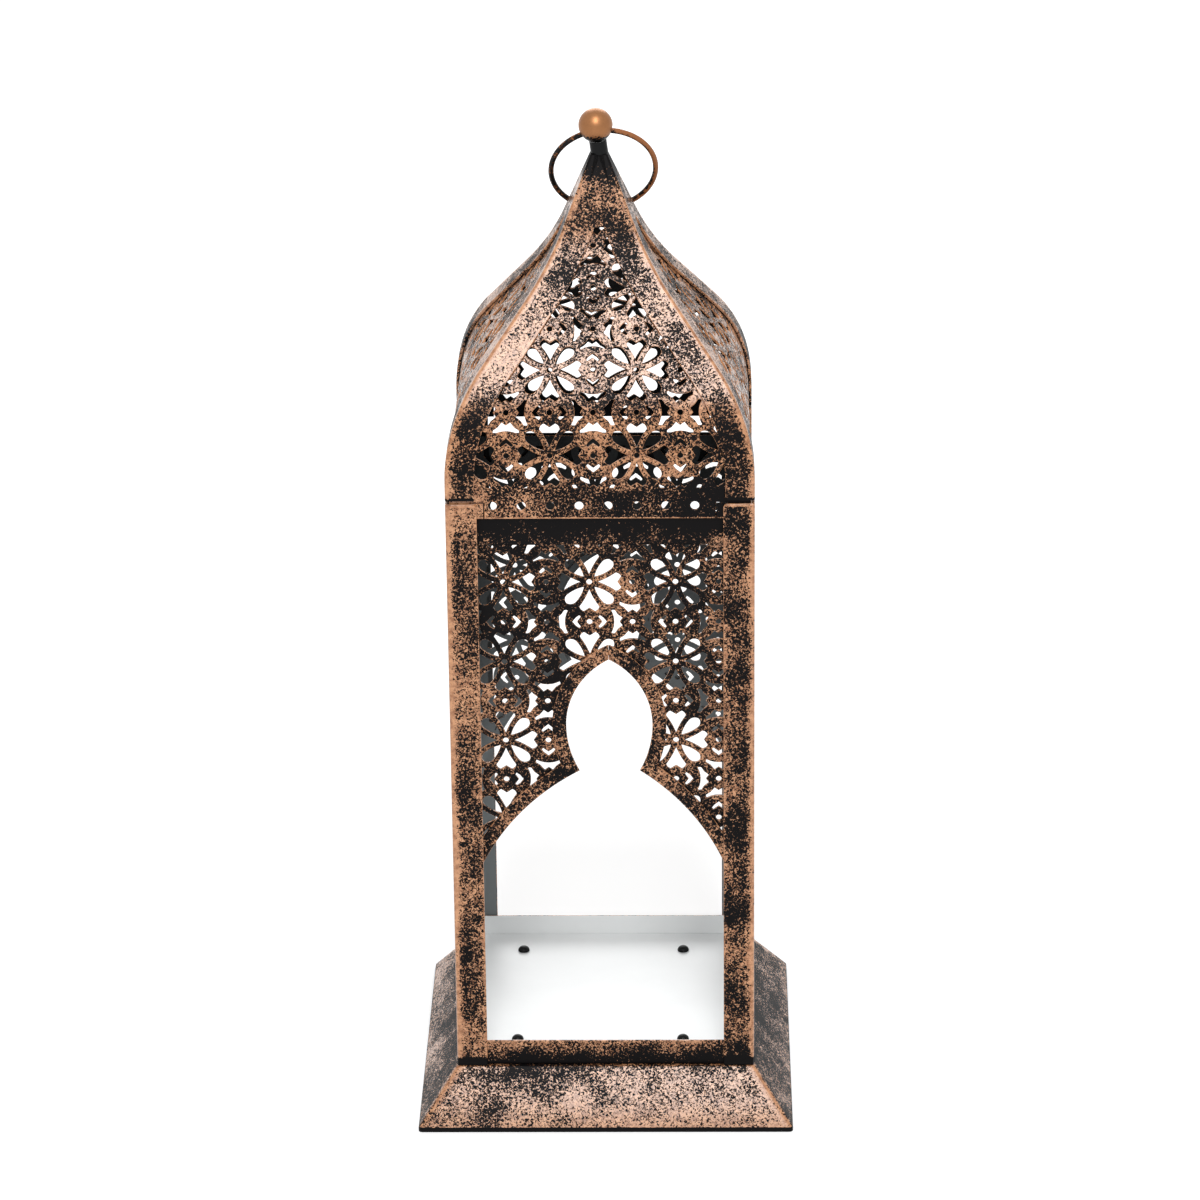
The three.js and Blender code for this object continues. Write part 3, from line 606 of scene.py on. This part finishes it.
def sponged_copper():
    """Matt black enamel dabbed with copper paint from a coarse sponge. The eye sees worm-like copper grains
    on near black, in denser and thinner patches, some lighter than others, and solid copper where folds and
    edges were rubbed. The copper level of each point also carries painted highlights along lit edges and
    painted shade at feet and under overhangs. The copper's clear glossy binder turns pale on slopes that
    face the light. The real grains are about half a millimetre, drawn a little coarser so that they show."""
    s, paint = lengths(), bpy.context.scene.lantern_colours
    material, add, surface, where = new_finish("sponged_copper_enamel", Specular_IOR_Level=0.1,
                                               Coat_Roughness=0.22)
    grains = add("TexNoise", {"Vector": where, "Scale": 1000 / s.grain, "Detail": 3.0, "Roughness": 0.6,
                              "Distortion": 0.8})
    patches = add("TexNoise", {"Vector": where, "Scale": 1000 / s.patch, "Detail": 3.0, "Roughness": 0.6})
    dense = add("Attribute", {}, "Fac", attribute_name="copper")
    spread = add("Math", {0: patches, 1: 0.5, 2: -0.25}, operation="MULTIPLY_ADD")
    # Painted light too: the copper attribute adds painted highlights and painted shade to the rubbed wear.
    rubbed = add("Math", {0: dense, 1: 0.22, 2: spread}, operation="MULTIPLY_ADD")
    level = add("Math", {0: grains, 1: rubbed}, operation="ADD")
    dabs = add("MapRange", {"Value": level, "From Min": 0.485, "From Max": 0.525},
               interpolation_type="SMOOTHSTEP")
    tone = add("TexNoise", {"Vector": where, "Scale": 450.0, "Detail": 3.0, "Roughness": 0.7})
    shade = add("MapRange", {"Value": tone, "From Min": 0.33, "From Max": 0.6})
    copper = add("Mix", {0: shade, 6: paint.copper_dark, 7: paint.copper}, 2, data_type="RGBA")
    mixed = add("Mix", {0: dabs, 6: paint.enamel, 7: copper}, 2, data_type="RGBA")
    rough = add("MapRange", {"Value": dabs, "To Min": 0.5, "To Max": 0.35})
    bump = add("Bump", {"Strength": 0.5, "Distance": 0.00006, "Height": dabs})
    fill(surface, {"Base Color": mixed, "Coat Weight": dabs, "Roughness": rough, "Normal": bump})
    return material


def inside_enamel():
    """Thin spray paint on the inner faces, without copper: grey, darkened towards the roof as painted shade
    under it. The eye sees a dull grey that darkens upwards, with soft clouds."""
    s, paint = lengths(), bpy.context.scene.lantern_colours
    material, add, surface, where = new_finish("spray_painted_inside", Roughness=0.5,
                                               Specular_IOR_Level=0.15)
    clouds = add("TexNoise", {"Vector": where, "Scale": 1000 / s.patch, "Detail": 5.0, "Roughness": 0.6})
    height = add("SeparateXYZ", {0: where}, "Z")
    # Painted shade: the inner faces darken towards the roof, from 90 mm to 200 mm above the underside.
    roof_shade = add("MapRange", {"Value": height, "From Min": 0.09, "From Max": 0.2, "To Max": 0.8})
    share = add("Math", {0: clouds, 1: 0.3, 2: roof_shade}, operation="MULTIPLY_ADD", use_clamp=True)
    mixed = add("Mix", {0: share, 6: paint.inside, 7: paint.black}, 2, data_type="RGBA")
    fill(surface, {"Base Color": mixed})
    return material


def floor_satin():
    """Light satin lacquer on the floor plate. The eye sees an even near white with faint orange peel."""
    paint = bpy.context.scene.lantern_colours
    material, add, surface, where = new_finish("satin_lacquered_floor", Roughness=0.4)
    peel = add("TexNoise", {"Vector": where, "Scale": 700.0, "Detail": 2.0})
    dust = add("TexNoise", {"Vector": where, "Scale": 60.0, "Detail": 6.0, "Roughness": 0.65})
    dull = tuple(c * 0.92 for c in paint.floor_paint[:3]) + (1.0,)
    mixed = add("Mix", {0: dust, 6: dull, 7: paint.floor_paint}, 2, data_type="RGBA")
    bump = add("Bump", {"Strength": 0.2, "Distance": 0.00003, "Height": peel})
    fill(surface, {"Base Color": mixed, "Normal": bump})
    return material


def black_satin(name, copper_share, shine=0.15):
    """Black enamel on turned and drawn parts, with copper where hands have rubbed it. The eye sees a satin
    black with a few warm scuffs."""
    paint = bpy.context.scene.lantern_colours
    material, add, surface, where = new_finish(name, Roughness=0.34, Specular_IOR_Level=shine)
    scuffs = add("TexNoise", {"Vector": where, "Scale": 420.0, "Detail": 5.0, "Roughness": 0.8})
    worn = add("Attribute", {}, "Fac", attribute_name="copper")
    level = add("Math", {0: worn, 1: 0.5, 2: scuffs}, operation="MULTIPLY_ADD")
    bare = add("MapRange", {"Value": level, "From Min": 0.8 - copper_share, "From Max": 0.9 - copper_share},
               interpolation_type="SMOOTHSTEP")
    mixed = add("Mix", {0: bare, 6: paint.black, 7: paint.copper_dark}, 2, data_type="RGBA")
    fill(surface, {"Base Color": mixed})
    return material


def satin_copper():
    """Copper paint over a turned ball, rubbed smooth. The eye sees a soft warm sheen with fine grain, and
    black specks on the underside, partly missed paint and partly painted shade below the ball."""
    paint = bpy.context.scene.lantern_colours
    material, add, surface, where = new_finish("satin_copper_ball", Metallic=0.8)
    grain = add("TexNoise", {"Vector": where, "Scale": 1500.0, "Detail": 3.0, "Roughness": 0.6})
    dark = tuple(c * 0.75 for c in paint.ball[:3]) + (1.0,)
    copper = add("Mix", {0: grain, 6: dark, 7: paint.ball}, 2, data_type="RGBA")
    height = add("SeparateXYZ", {0: where}, "Z")
    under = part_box("finial_ball")[0][2]
    # Partly painted shade: black specks gather on the underside of the ball.
    above = add("MapRange", {"Value": height, "From Min": under + 0.0015, "From Max": under + 0.007})
    specks = add("Math", {0: grain, 1: above}, operation="ADD")
    bare = add("MapRange", {"Value": specks, "From Min": 0.72, "From Max": 0.82})
    mixed = add("Mix", {0: bare, 6: paint.black, 7: copper}, 2, data_type="RGBA")
    rough = add("MapRange", {"Value": grain, "To Min": 0.34, "To Max": 0.46})
    fill(surface, {"Base Color": mixed, "Roughness": rough})
    return material


def finish_named(name, make, *settings):
    """The material of that name, made the first time that a piece asks for it."""
    return bpy.data.materials.get(name) or make(*settings)


def enamel():
    return finish_named("sponged_copper_enamel", sponged_copper)


def inner():
    return finish_named("spray_painted_inside", inside_enamel)


def floor_paint():
    return finish_named("satin_lacquered_floor", floor_satin)


def dark_inner():
    return finish_named("black_enamel_inside", black_satin, "black_enamel_inside", 0.0, 0.05)


# Pieces

class LANTERN_OT_base(bpy.types.Operator):
    """Bends the sloped base as one hollow skin, paints the floor plate and sets the floor rivets"""
    bl_idname = "lantern.base"
    bl_label = "Base and floor"

    def execute(self, context):
        s = lengths()
        foot, top, high = BASE_HIGH[0], -POST_LOW[0] + s.seat, BASE_HIGH[2]
        ledge, bend, corner_radius, worn_corner = 4, 0.35, 1.2, 1.6
        run, rise = foot - top, high - s.base_lip
        nx, nz = rise / math.hypot(run, rise), run / math.hypot(run, rise)
        inside_top = top + (s.sheet * nz - s.sheet) / nx
        inside_lip = high - (s.sheet + (foot - s.sheet - top) * nx) / nz
        profile = folded([(inside_top - ledge, high - s.sheet), (inside_top, high - s.sheet),
                          (foot - s.sheet, inside_lip), (foot - s.sheet, s.sheet),
                          (foot - s.base_hem, s.sheet), (foot - s.base_hem, 0), (foot, 0),
                          (foot, s.base_lip), (top, high), (top - ledge, high)], bend)
        rings = square_rings(profile[:, 0], profile[:, 1], corner_radius)
        points, faces = capped(rings)
        around = rings.shape[1]
        far, level = np.repeat(profile, around, 0).T
        outside = np.repeat(np.arange(len(profile)) >= len(profile) // 2, around)
        corner = np.minimum(abs(points[:, 0]), abs(points[:, 1])) > far - worn_corner
        # Worn corners get copper; the upright lip gets none, painted shade along the foot of the slope.
        wear_and_light = outside * (0.9 * (corner & (level > s.base_lip + 0.5)) - 1.6 * (level < s.base_lip + 0.1))
        kinds = [0 if outside[face[0]] else 1 for face in faces]
        # Painted shade: side faces get less copper; the front gets more copper to the right and low down.
        cover = np.where(abs(points[:, 0]) > abs(points[:, 1]) + 0.01, -0.35, points[:, 0] / 300)
        cover += np.interp(level, (s.base_lip, high), (0.3, -0.25))
        piece = make_piece("base", points, faces, [enamel(), inner()], kinds, wear_and_light, cover)
        settle(piece, "base_paint", "base_skirt")
        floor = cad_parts["floor_plate"]
        floor.data.materials.clear()
        floor.data.materials.append(floor_paint())
        low = FLOOR_HIGH[2] + s.seat
        turn = np.linspace(0, np.pi / 2, 9)[:-1]
        dome = [(s.rivet_head / 2 * math.cos(t), low + s.rivet_rise * math.sin(t)) for t in turn]
        head = lathe([(s.rivet_head / 2 - 0.2, low), *dome, (0.05, low + s.rivet_rise)], 32)
        paint = black_satin("black_enamel_rivets", 0.1)
        for number in range(1, 5):
            near, far = np.array(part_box(f"floor_rivet_{number}")) * 1000
            points, faces = capped(head + ((near + far) / 2 * (1, 1, 0)))
            piece = make_piece(f"rivet_{number}", points, faces, [paint])
            settle(piece, "black_paint", f"floor_rivet_{number}")
        return {"FINISHED"}


class LANTERN_OT_posts(bpy.types.Operator):
    """Folds the four corner posts, with a rounded upper corner on each leg"""
    bl_idname = "lantern.posts"
    bl_label = "Corner posts"

    def execute(self, context):
        s = lengths()
        low, high = POST_LOW[2], POST_HIGH[2]
        turn = np.linspace(0, np.pi / 2, 7)[:-1]
        height = np.concatenate([[low, low + s.edge, low + 2, low + 3.5],
                                 np.linspace(low + 6, high - s.post_corner - 6, 24),
                                 high - s.post_corner * (1 - np.sin(turn)), [high - s.edge, high]])
        above = np.clip((height - high + s.post_corner) / s.post_corner, 0, 1)
        leg = s.post_leg - s.post_corner * (1 - np.sqrt(1 - np.minimum(above, 0.985) ** 2))
        draw = s.edge - np.minimum(np.minimum(height - low, high - height), s.edge)
        points, faces, kinds, wear_and_light = angle_strip(s, -POST_LOW[0], height, 0.0, leg, s.edge, draw)
        level = np.repeat(height, len(points) // len(height))
        # Painted highlight: copper on the top 0.8 mm along the lit top edge; the lowest 3 mm is darker,
        # without copper.
        shape = points, faces, kinds, np.maximum(wear_and_light, (level > high - 0.8) * 0.8) - (level < low + 3) * 2.0
        for quarter, (corner, cover) in enumerate(zip(CORNERS, (-0.15, -0.38, -0.3, -0.3))):
            stand(shape, quarter, "post", "corner_post", corner, inner(), cover)
        return {"FINISHED"}


class LANTERN_OT_rails(bpy.types.Operator):
    """Bends the bottom rails with their turned-in flanges and cuts the flat top rails"""
    bl_idname = "lantern.rails"
    bl_label = "Rails"

    def execute(self, context):
        s = lengths()
        low, high, outer = RAIL_LOW[2], RAIL_HIGH[2], -RAIL_LOW[1]
        face, back = outer - s.sheet, outer - s.sheet - s.rail_flange
        sill = rounded([(back, low), (outer, low), (outer, high), (face, high), (face, low + s.sheet),
                        (back, low + s.sheet)], 0.22)
        outer, low, high = -BEAM_LOW[1], BEAM_LOW[2], BEAM_HIGH[2]
        beam = rounded([(outer - s.sheet, low), (outer, low), (outer, high), (outer - s.sheet, high)], 0.16)
        back_drop = np.array((0, 0, BACK_BEAM_LOW[2] - low))
        # Painted shade: the sill darkens to its foot over the gap to the base, the beam to its top under the
        # roof's band.
        for name, profile, node, lining, foot_wear_and_shade, more_above in (
                ("sill", sill, "bottom_rail", floor_paint(), -0.4, 1.2),
                ("beam", beam, "top_rail", dark_inner(), 0.2, -0.8)):
            points, faces = capped(bar(profile))
            above = (profile[:, 1] - profile[:, 1].min()) / np.ptp(profile[:, 1])
            wear_and_light = np.tile(foot_wear_and_shade + more_above * above, 2)
            inward = np.tile(profile[:, 0] < profile[:, 0].max() - s.sheet / 2, 2)
            kinds = [int(inward[face[0]] and inward[face[1]]) for face in faces]
            for quarter, side in enumerate(SIDES):
                shape = points + back_drop * ((name, side) == ("beam", "back")), faces, kinds, wear_and_light
                stand(shape, quarter, name, node, side, lining, -0.6)
        return {"FINISHED"}


class LANTERN_OT_fretwork(bpy.types.Operator):
    """Punches the four body panels round their keyhole arches"""
    bl_idname = "lantern.fretwork"
    bl_label = "Pierced panels"

    def execute(self, context):
        s = lengths()

        def over_arch(offset, edge, top):
            """What lies above the arch moved out by an offset, up to both edges and the top."""
            left, right = arch_half(s, -1, offset, edge), arch_half(s, 1, offset, edge)
            return np.concatenate([left[::-1], right[1:], [(edge, top), (-edge, top)]])

        high, edge = BEAM_LOW[2] - s.panel_field_drop, -POST_LOW[0] - s.post_leg + TUCKED_UNDER
        rim, field = over_arch(1.0, PANEL_HIGH[0], PANEL_HIGH[2]), over_arch(2.6, edge, high)
        for quarters, shift, rise in (((0, 1, 3), 0, 0), ((2,), s.back_panel_shift, s.back_panel_rise)):
            holes = fretwork(s.pitch, s.panel_flower_x + shift, s.panel_flower_z + rise, -edge, edge,
                             rim[:, 1].min(), high)
            shape = pierced_sheet(rim, [], holes, field, flat_on(-PANEL_LOW[1]), s.sheet, CHAMFER)
            for quarter in quarters:
                stand(shape, quarter, "panel", "fretwork", SIDES[quarter], inner(), -0.5)
        return {"FINISHED"}


class LANTERN_OT_strips(bpy.types.Operator):
    """Cuts the plain strips round the arches, in two halves that meet at the point"""
    bl_idname = "lantern.strips"
    bl_label = "Arch strips"

    def execute(self, context):
        s = lengths()
        half_seam, chamfer = 0.04, 0.16
        for way, hand in ((-1, "left"), (1, "right")):
            low, high = np.array(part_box(f"arch_strip_front_{hand}")) * 1000
            end = max(-way * low[0], way * low[0], way * high[0])
            near, far = (arch_half(s, way, offset, end, half_seam) for offset in (0, s.arch_strip))
            rim = np.concatenate([near, far[::-1]])[::way]
            shape = pierced_sheet(rim, [], [], None, flat_on(-low[1]), s.sheet, chamfer)
            for quarter, side in enumerate(SIDES):
                stand(shape, quarter, "strip", "arch_strip", f"{side}_{hand}", inner(), -0.35)
        return {"FINISHED"}


class LANTERN_OT_roof_sheets(bpy.types.Operator):
    """Punches the four roof sheets and bends them along the ogee"""
    bl_idname = "lantern.roof_sheets"
    bl_label = "Roof sheets"

    def execute(self, context):
        s = lengths()
        inset = s.angle_sheet + s.seat
        low = SHEET_LOW[2] - RIB_LOW[2]
        neck = (s.eave_rise + (s.eave_radius - inset) * s.slope + s.slope_length
                + (s.neck_radius + inset) * (s.slope - s.neck_slope))
        high = neck + s.sheet_reach
        length = np.linspace(low, high, 90)
        rim = mirrored(roof_line(s, length, inset)[0] - MITRE_GAP, length)
        row = s.row_hole_height - RIB_LOW[2]
        last = roof_length_at(s, s.rib_join, inset) + TUCKED_UNDER
        edge = -POST_LOW[0] - s.post_leg
        around = arcs([(s.row_hole / 2, 0, 1), (-s.row_hole / 2, 0, 1)], 10)
        cuts = [around + (s.pitch / 3 * (k - 3.5) + s.row_hole_shift, row) for k in range(8)]
        slit_in, slit_out, slit_top = edge - s.tab_width, edge + TUCKED_UNDER, low + s.tab_height
        slit = np.array([(slit_in, low - 0.5), (slit_in + s.tab_slit, low - 0.5),
                         (slit_in + s.tab_slit, slit_top - s.tab_slit), (slit_out, slit_top - s.tab_slit),
                         (slit_out, slit_top), (slit_in, slit_top)])
        cuts += [slit, (slit * (-1, 1))[::-1]]

        def bend(plan, depth):
            """Carries the plan along the roof's line and moves it in at right angles to it."""
            out, height, angle = roof_line(s, plan[:, 1], inset)
            out, height = out - depth * np.cos(angle), height - depth * np.sin(angle)
            return np.stack([np.clip(plan[:, 0], MITRE_GAP - out, out - MITRE_GAP), -out, height], -1)

        rows = np.arange(low + 0.7, high, 1.5)
        for quarters, shift, rise in (((0, 1, 3), 0, 0), ((2,), s.back_roof_shift, s.back_roof_rise)):
            first = row + s.roof_flower_rise + rise
            length = np.linspace(first - s.roof_field_drop, last, 60)
            out, _, angle = roof_line(s, length, inset)
            field = mirrored(out + inset - s.rib_leg * np.hypot(1, np.sin(angle)) + TUCKED_UNDER, length)
            holes = fretwork(s.pitch, s.roof_flower_x + shift, first, -edge, edge, length[0], last)
            shape = pierced_sheet(rim, cuts, holes, field, bend, s.sheet, CHAMFER, rows)
            x, _, z = shape[0].T
            # Less copper to the right on the band; copper on the lowest 0.3 mm is a painted highlight on the
            # lit edge.
            cover = np.where(z < RIB_LOW[2] + 8, -0.5 - x / 80, -0.2) + 1.2 * (z < SHEET_LOW[2] + 0.3)
            for quarter in quarters:
                stand(shape, quarter, "roof", "roof_sheet", SIDES[quarter], dark_inner(), cover)
        return {"FINISHED"}


class LANTERN_OT_ribs(bpy.types.Operator):
    """Bends the four angle strips of the roof's corners, which close up below the peak"""
    bl_idname = "lantern.ribs"
    bl_label = "Roof ribs"

    def execute(self, context):
        s = lengths()
        closed = 0.02
        join, whole = (float(roof_length_at(s, z, 0)) for z in (s.rib_join, RIB_HIGH[2]))
        length = np.unique(np.concatenate([[0, s.edge], np.arange(1.2, whole - 1, 1.2),
                                           [join - 0.15, join, whole - s.edge, whole]]))
        out, height, angle = roof_line(s, length, 0)
        joined = length >= join
        leg = np.minimum(np.where(joined, out, s.rib_leg * np.hypot(1, np.sin(angle))), out - closed)
        edge = np.where(joined, closed, s.edge)
        draw = s.edge - np.minimum(np.minimum(length, whole - length), s.edge)
        points, faces, kinds, wear_and_light = angle_strip(s, out, height, angle, leg, edge, draw)
        deep = RIB_HIGH[2] - points[:, 2]
        # Copper is sparse at the peak and denser mid-slope, partly a painted highlight where the slope faces
        # the lamp.
        dense = np.interp(deep, (0, 9, 30, 60, 80), (-1.3, 0.3, 0.1, 0.5, 0))
        # The feet of the ribs get no copper and are darker.
        wear_and_light = wear_and_light * np.interp(deep, (0, 30), (0.1, 0.8)) - 2.0 * (points[:, 2] < RIB_LOW[2] + 1)
        shape = points, faces, kinds, wear_and_light
        for quarter, (corner, cover) in enumerate(zip(CORNERS, (-0.35, -0.5, -0.4, -0.4))):
            stand(shape, quarter, "rib", "roof_rib", corner, dark_inner(), cover + dense)
        return {"FINISHED"}


class LANTERN_OT_finial(bpy.types.Operator):
    """Turns the neck and the drilled ball and bends the carrying ring, all leaned together"""
    bl_idname = "lantern.finial"
    bl_label = "Finial and ring"

    def execute(self, context):
        s = lengths()
        peak = RIB_HIGH[2]
        lean_at, foot = peak + s.lean_rise, peak - s.neck_sink
        ball_z = foot + s.neck_rise + s.ball / 2
        dish = s.ball / 2 + 0.2
        bowl = np.linspace(math.asin(s.neck / 2 / dish), 0.02, 6)
        profile = [(s.neck / 2 - 0.2, foot), (s.neck / 2, foot + 0.2)]
        profile += [(dish * math.sin(t), ball_z - dish * math.cos(t)) for t in bowl]
        points, faces = capped(leaned(lathe(profile, 64), lean_at, s.lean))
        settle(make_piece("neck", points, faces, [black_satin("black_enamel_neck", 0.12)]), "black_paint",
               "finial_neck")
        sag = s.ring - math.sqrt(s.ring ** 2 - s.ball ** 2 / 4)
        pivot = ball_z - s.ring_drop - sag / 2
        full = s.ball / 2 - 0.06
        turn = np.linspace(np.pi, 0, 49)
        profile = [(max(full * math.sin(t), 0.01), ball_z + full * math.cos(t)) for t in turn]
        points, faces = capped(lathe(profile, 96))
        ball = make_piece("ball", points, faces, [satin_copper(), black_satin("bored_hole", 0.2)])
        bore = lathe([(s.wire / 2 + sag / 2 + 0.3, end * s.ball) for end in (-1, 1)], 48)
        points, faces = capped(np.stack([bore[..., 2], bore[..., 1], pivot - bore[..., 0]], -1))
        drill = make_piece("drill", points, faces, [])
        cut = ball.modifiers.new("bore", "BOOLEAN")
        cut.operation, cut.solver, cut.object = "DIFFERENCE", "EXACT", drill
        mesh = bpy.data.meshes.new_from_object(ball.evaluated_get(context.evaluated_depsgraph_get()))
        ball.modifiers.clear()
        bpy.data.objects.remove(drill)
        ball.data = mesh
        spots = np.empty(len(mesh.vertices) * 3, np.float32)
        mesh.vertices.foreach_get("co", spots)
        spots = leaned(spots.reshape(-1, 3).astype(float) * 1000, lean_at, s.lean) / 1000
        mesh.vertices.foreach_set("co", spots.astype(np.float32).ravel())
        mesh.set_sharp_from_angle(angle=math.radians(40))
        settle(ball, "copper_paint", "finial_ball")
        count, steps = 160, 20
        around, across = (np.arange(number) * 2 * np.pi / number for number in (count, steps))
        around, across = np.meshgrid(around, across, indexing="ij")
        far = s.ring + s.wire / 2 * np.cos(across)
        x, y, z = far * np.sin(around), s.wire / 2 * np.sin(across), far * np.cos(around) + sag / 2 - s.ring
        cos, sin = math.cos(s.ring_tilt), math.sin(s.ring_tilt)
        ring = np.stack([x, y * cos - z * sin, y * sin + z * cos + pivot], -1)
        points = leaned(ring, lean_at, s.lean).reshape(-1, 3)
        wear_and_light = np.clip(0.4 * np.sin(around) + 0.3 * np.cos(across), 0, 1).ravel()
        wire = make_piece("ring", points, skin(count, steps, True), [black_satin("black_enamel_wire", 0.27)],
                          wear_and_light=wear_and_light)
        settle(wire, "black_paint", "carry_ring", body="ring")
        return {"FINISHED"}


# Stage

def seen(add):
    """1 on rays by which the camera sees a thing, straight or mirrored, and 0 on those that light it."""
    rays = add("LightPath", {}).node.outputs
    direct = add("Math", {0: rays["Is Camera Ray"], 1: rays["Is Glossy Ray"]}, operation="MAXIMUM")
    return add("Math", {0: direct, 1: rays["Is Transmission Ray"]}, operation="MAXIMUM")


def pale_floor():
    """Matt pale paint on the studio floor. The eye sees plain white with the lantern's shadow on it,
    because the floor glows a little where it is seen, and more towards the horizon."""
    material, add, surface, where = new_finish("pale_studio_floor", Roughness=0.9, Specular_IOR_Level=0.0)
    fill(surface, {"Base Color": bpy.context.scene.lantern_colours.backdrop})
    away = add("VectorMath", {0: where}, "Value", operation="LENGTH")
    far = add("MapRange", {"Value": away, "From Min": 0.5, "From Max": 2.5, "To Min": 0.3, "To Max": 0.65})
    glow = add("Math", {0: seen(add), 1: far}, operation="MULTIPLY")
    white = add("Emission", {"Strength": glow})
    both = add("AddShader", {0: surface.outputs[0], 1: white})
    fill(material.node_tree.nodes["Material Output"], {"Surface": both})
    return material


class LANTERN_OT_stage(bpy.types.Operator):
    """Sets the camera, the pale floor, the soft lamps and the white surroundings"""
    bl_idname = "lantern.stage"
    bl_label = "Stage"

    def execute(self, context):
        scene = context.scene
        scene.view_settings.view_transform = "Standard"
        lens = bpy.data.cameras.new("camera")
        lens.lens, lens.sensor_width, lens.clip_start, lens.clip_end = 150, 36, 0.05, 100
        camera = new_object("camera", lens)
        spot, pitch, yaw, roll = (0.031274, -1.604366, 0.821190), 0.3839, -0.0203, -0.0108
        aim = Matrix.Rotation(-yaw, 4, "Z") @ Matrix.Rotation(math.pi / 2 - pitch, 4, "X")
        camera.matrix_world = Matrix.Translation(spot) @ aim @ Matrix.Rotation(roll, 4, "Z")
        scene.camera = camera
        mesh = bpy.data.meshes.new("studio_floor")
        floor_corner = (-15, -15, 0)
        mesh.from_pydata([turned(floor_corner, quarter) for quarter in range(4)], [], [(0, 1, 2, 3)])
        mesh.materials.append(pale_floor())
        ground = new_object("studio_floor", mesh)
        world = bpy.data.worlds.new("white_studio")
        world.use_nodes = True
        scene.world = world
        add = partial(add_node, world.node_tree)
        level = add("MapRange", {"Value": seen(add), "To Min": 0.52, "To Max": 1.0})
        fill(world.node_tree.nodes["Background"], {"Strength": level, "Color": (1, 1, 1, 1)})
        for name, spot, wide, tall, watts in (("key", (0.03, -0.86, 1.3), 0.4, 0.8, 12.0),
                                              ("back", (0.0, 1.1, 0.8), 0.9, 0.7, 6.0)):
            lamp = bpy.data.lights.new(name, "AREA")
            lamp.shape, lamp.size, lamp.size_y, lamp.energy = "RECTANGLE", wide, tall, watts
            light = new_object(name, lamp)
            light.location = spot
            light.rotation_euler = (Vector((0, 0, 0.15)) - Vector(spot)).to_track_quat("-Z", "Y").to_euler()
        return {"FINISHED"}


PIECES = (LANTERN_OT_base, LANTERN_OT_posts, LANTERN_OT_rails, LANTERN_OT_fretwork, LANTERN_OT_strips,
          LANTERN_OT_roof_sheets, LANTERN_OT_ribs, LANTERN_OT_finial, LANTERN_OT_stage)


class LANTERN_PT_pieces(bpy.types.Panel):
    """Lists the lantern's pieces, sizes and colours in the sidebar"""
    bl_label = "Pierced candle lantern"
    bl_space_type = "VIEW_3D"
    bl_region_type = "UI"
    bl_category = "Lantern"

    def draw(self, context):
        for piece in PIECES:
            self.layout.operator(piece.bl_idname)
        for name in GROUPS:
            group = getattr(context.scene, name)
            for key in type(group).__annotations__:
                self.layout.prop(group, key, text=key.replace("_", " ").capitalize())


GROUPS = {"lantern_sizes": LanternSizes, "lantern_angles": LanternAngles, "lantern_colours": LanternColours}


def register():
    for cls in (*GROUPS.values(), *PIECES, LANTERN_PT_pieces):
        bpy.utils.register_class(cls)
    for name, group in GROUPS.items():
        setattr(bpy.types.Scene, name, bpy.props.PointerProperty(type=group))


def unregister():
    for name in GROUPS:
        delattr(bpy.types.Scene, name)
    for cls in (LANTERN_PT_pieces, *reversed(PIECES), *reversed(GROUPS.values())):
        bpy.utils.unregister_class(cls)


def main():
    register()
    for piece in PIECES:
        family, name = piece.bl_idname.split(".")
        getattr(getattr(bpy.ops, family), name)()


if __name__ == "__main__":
    main()
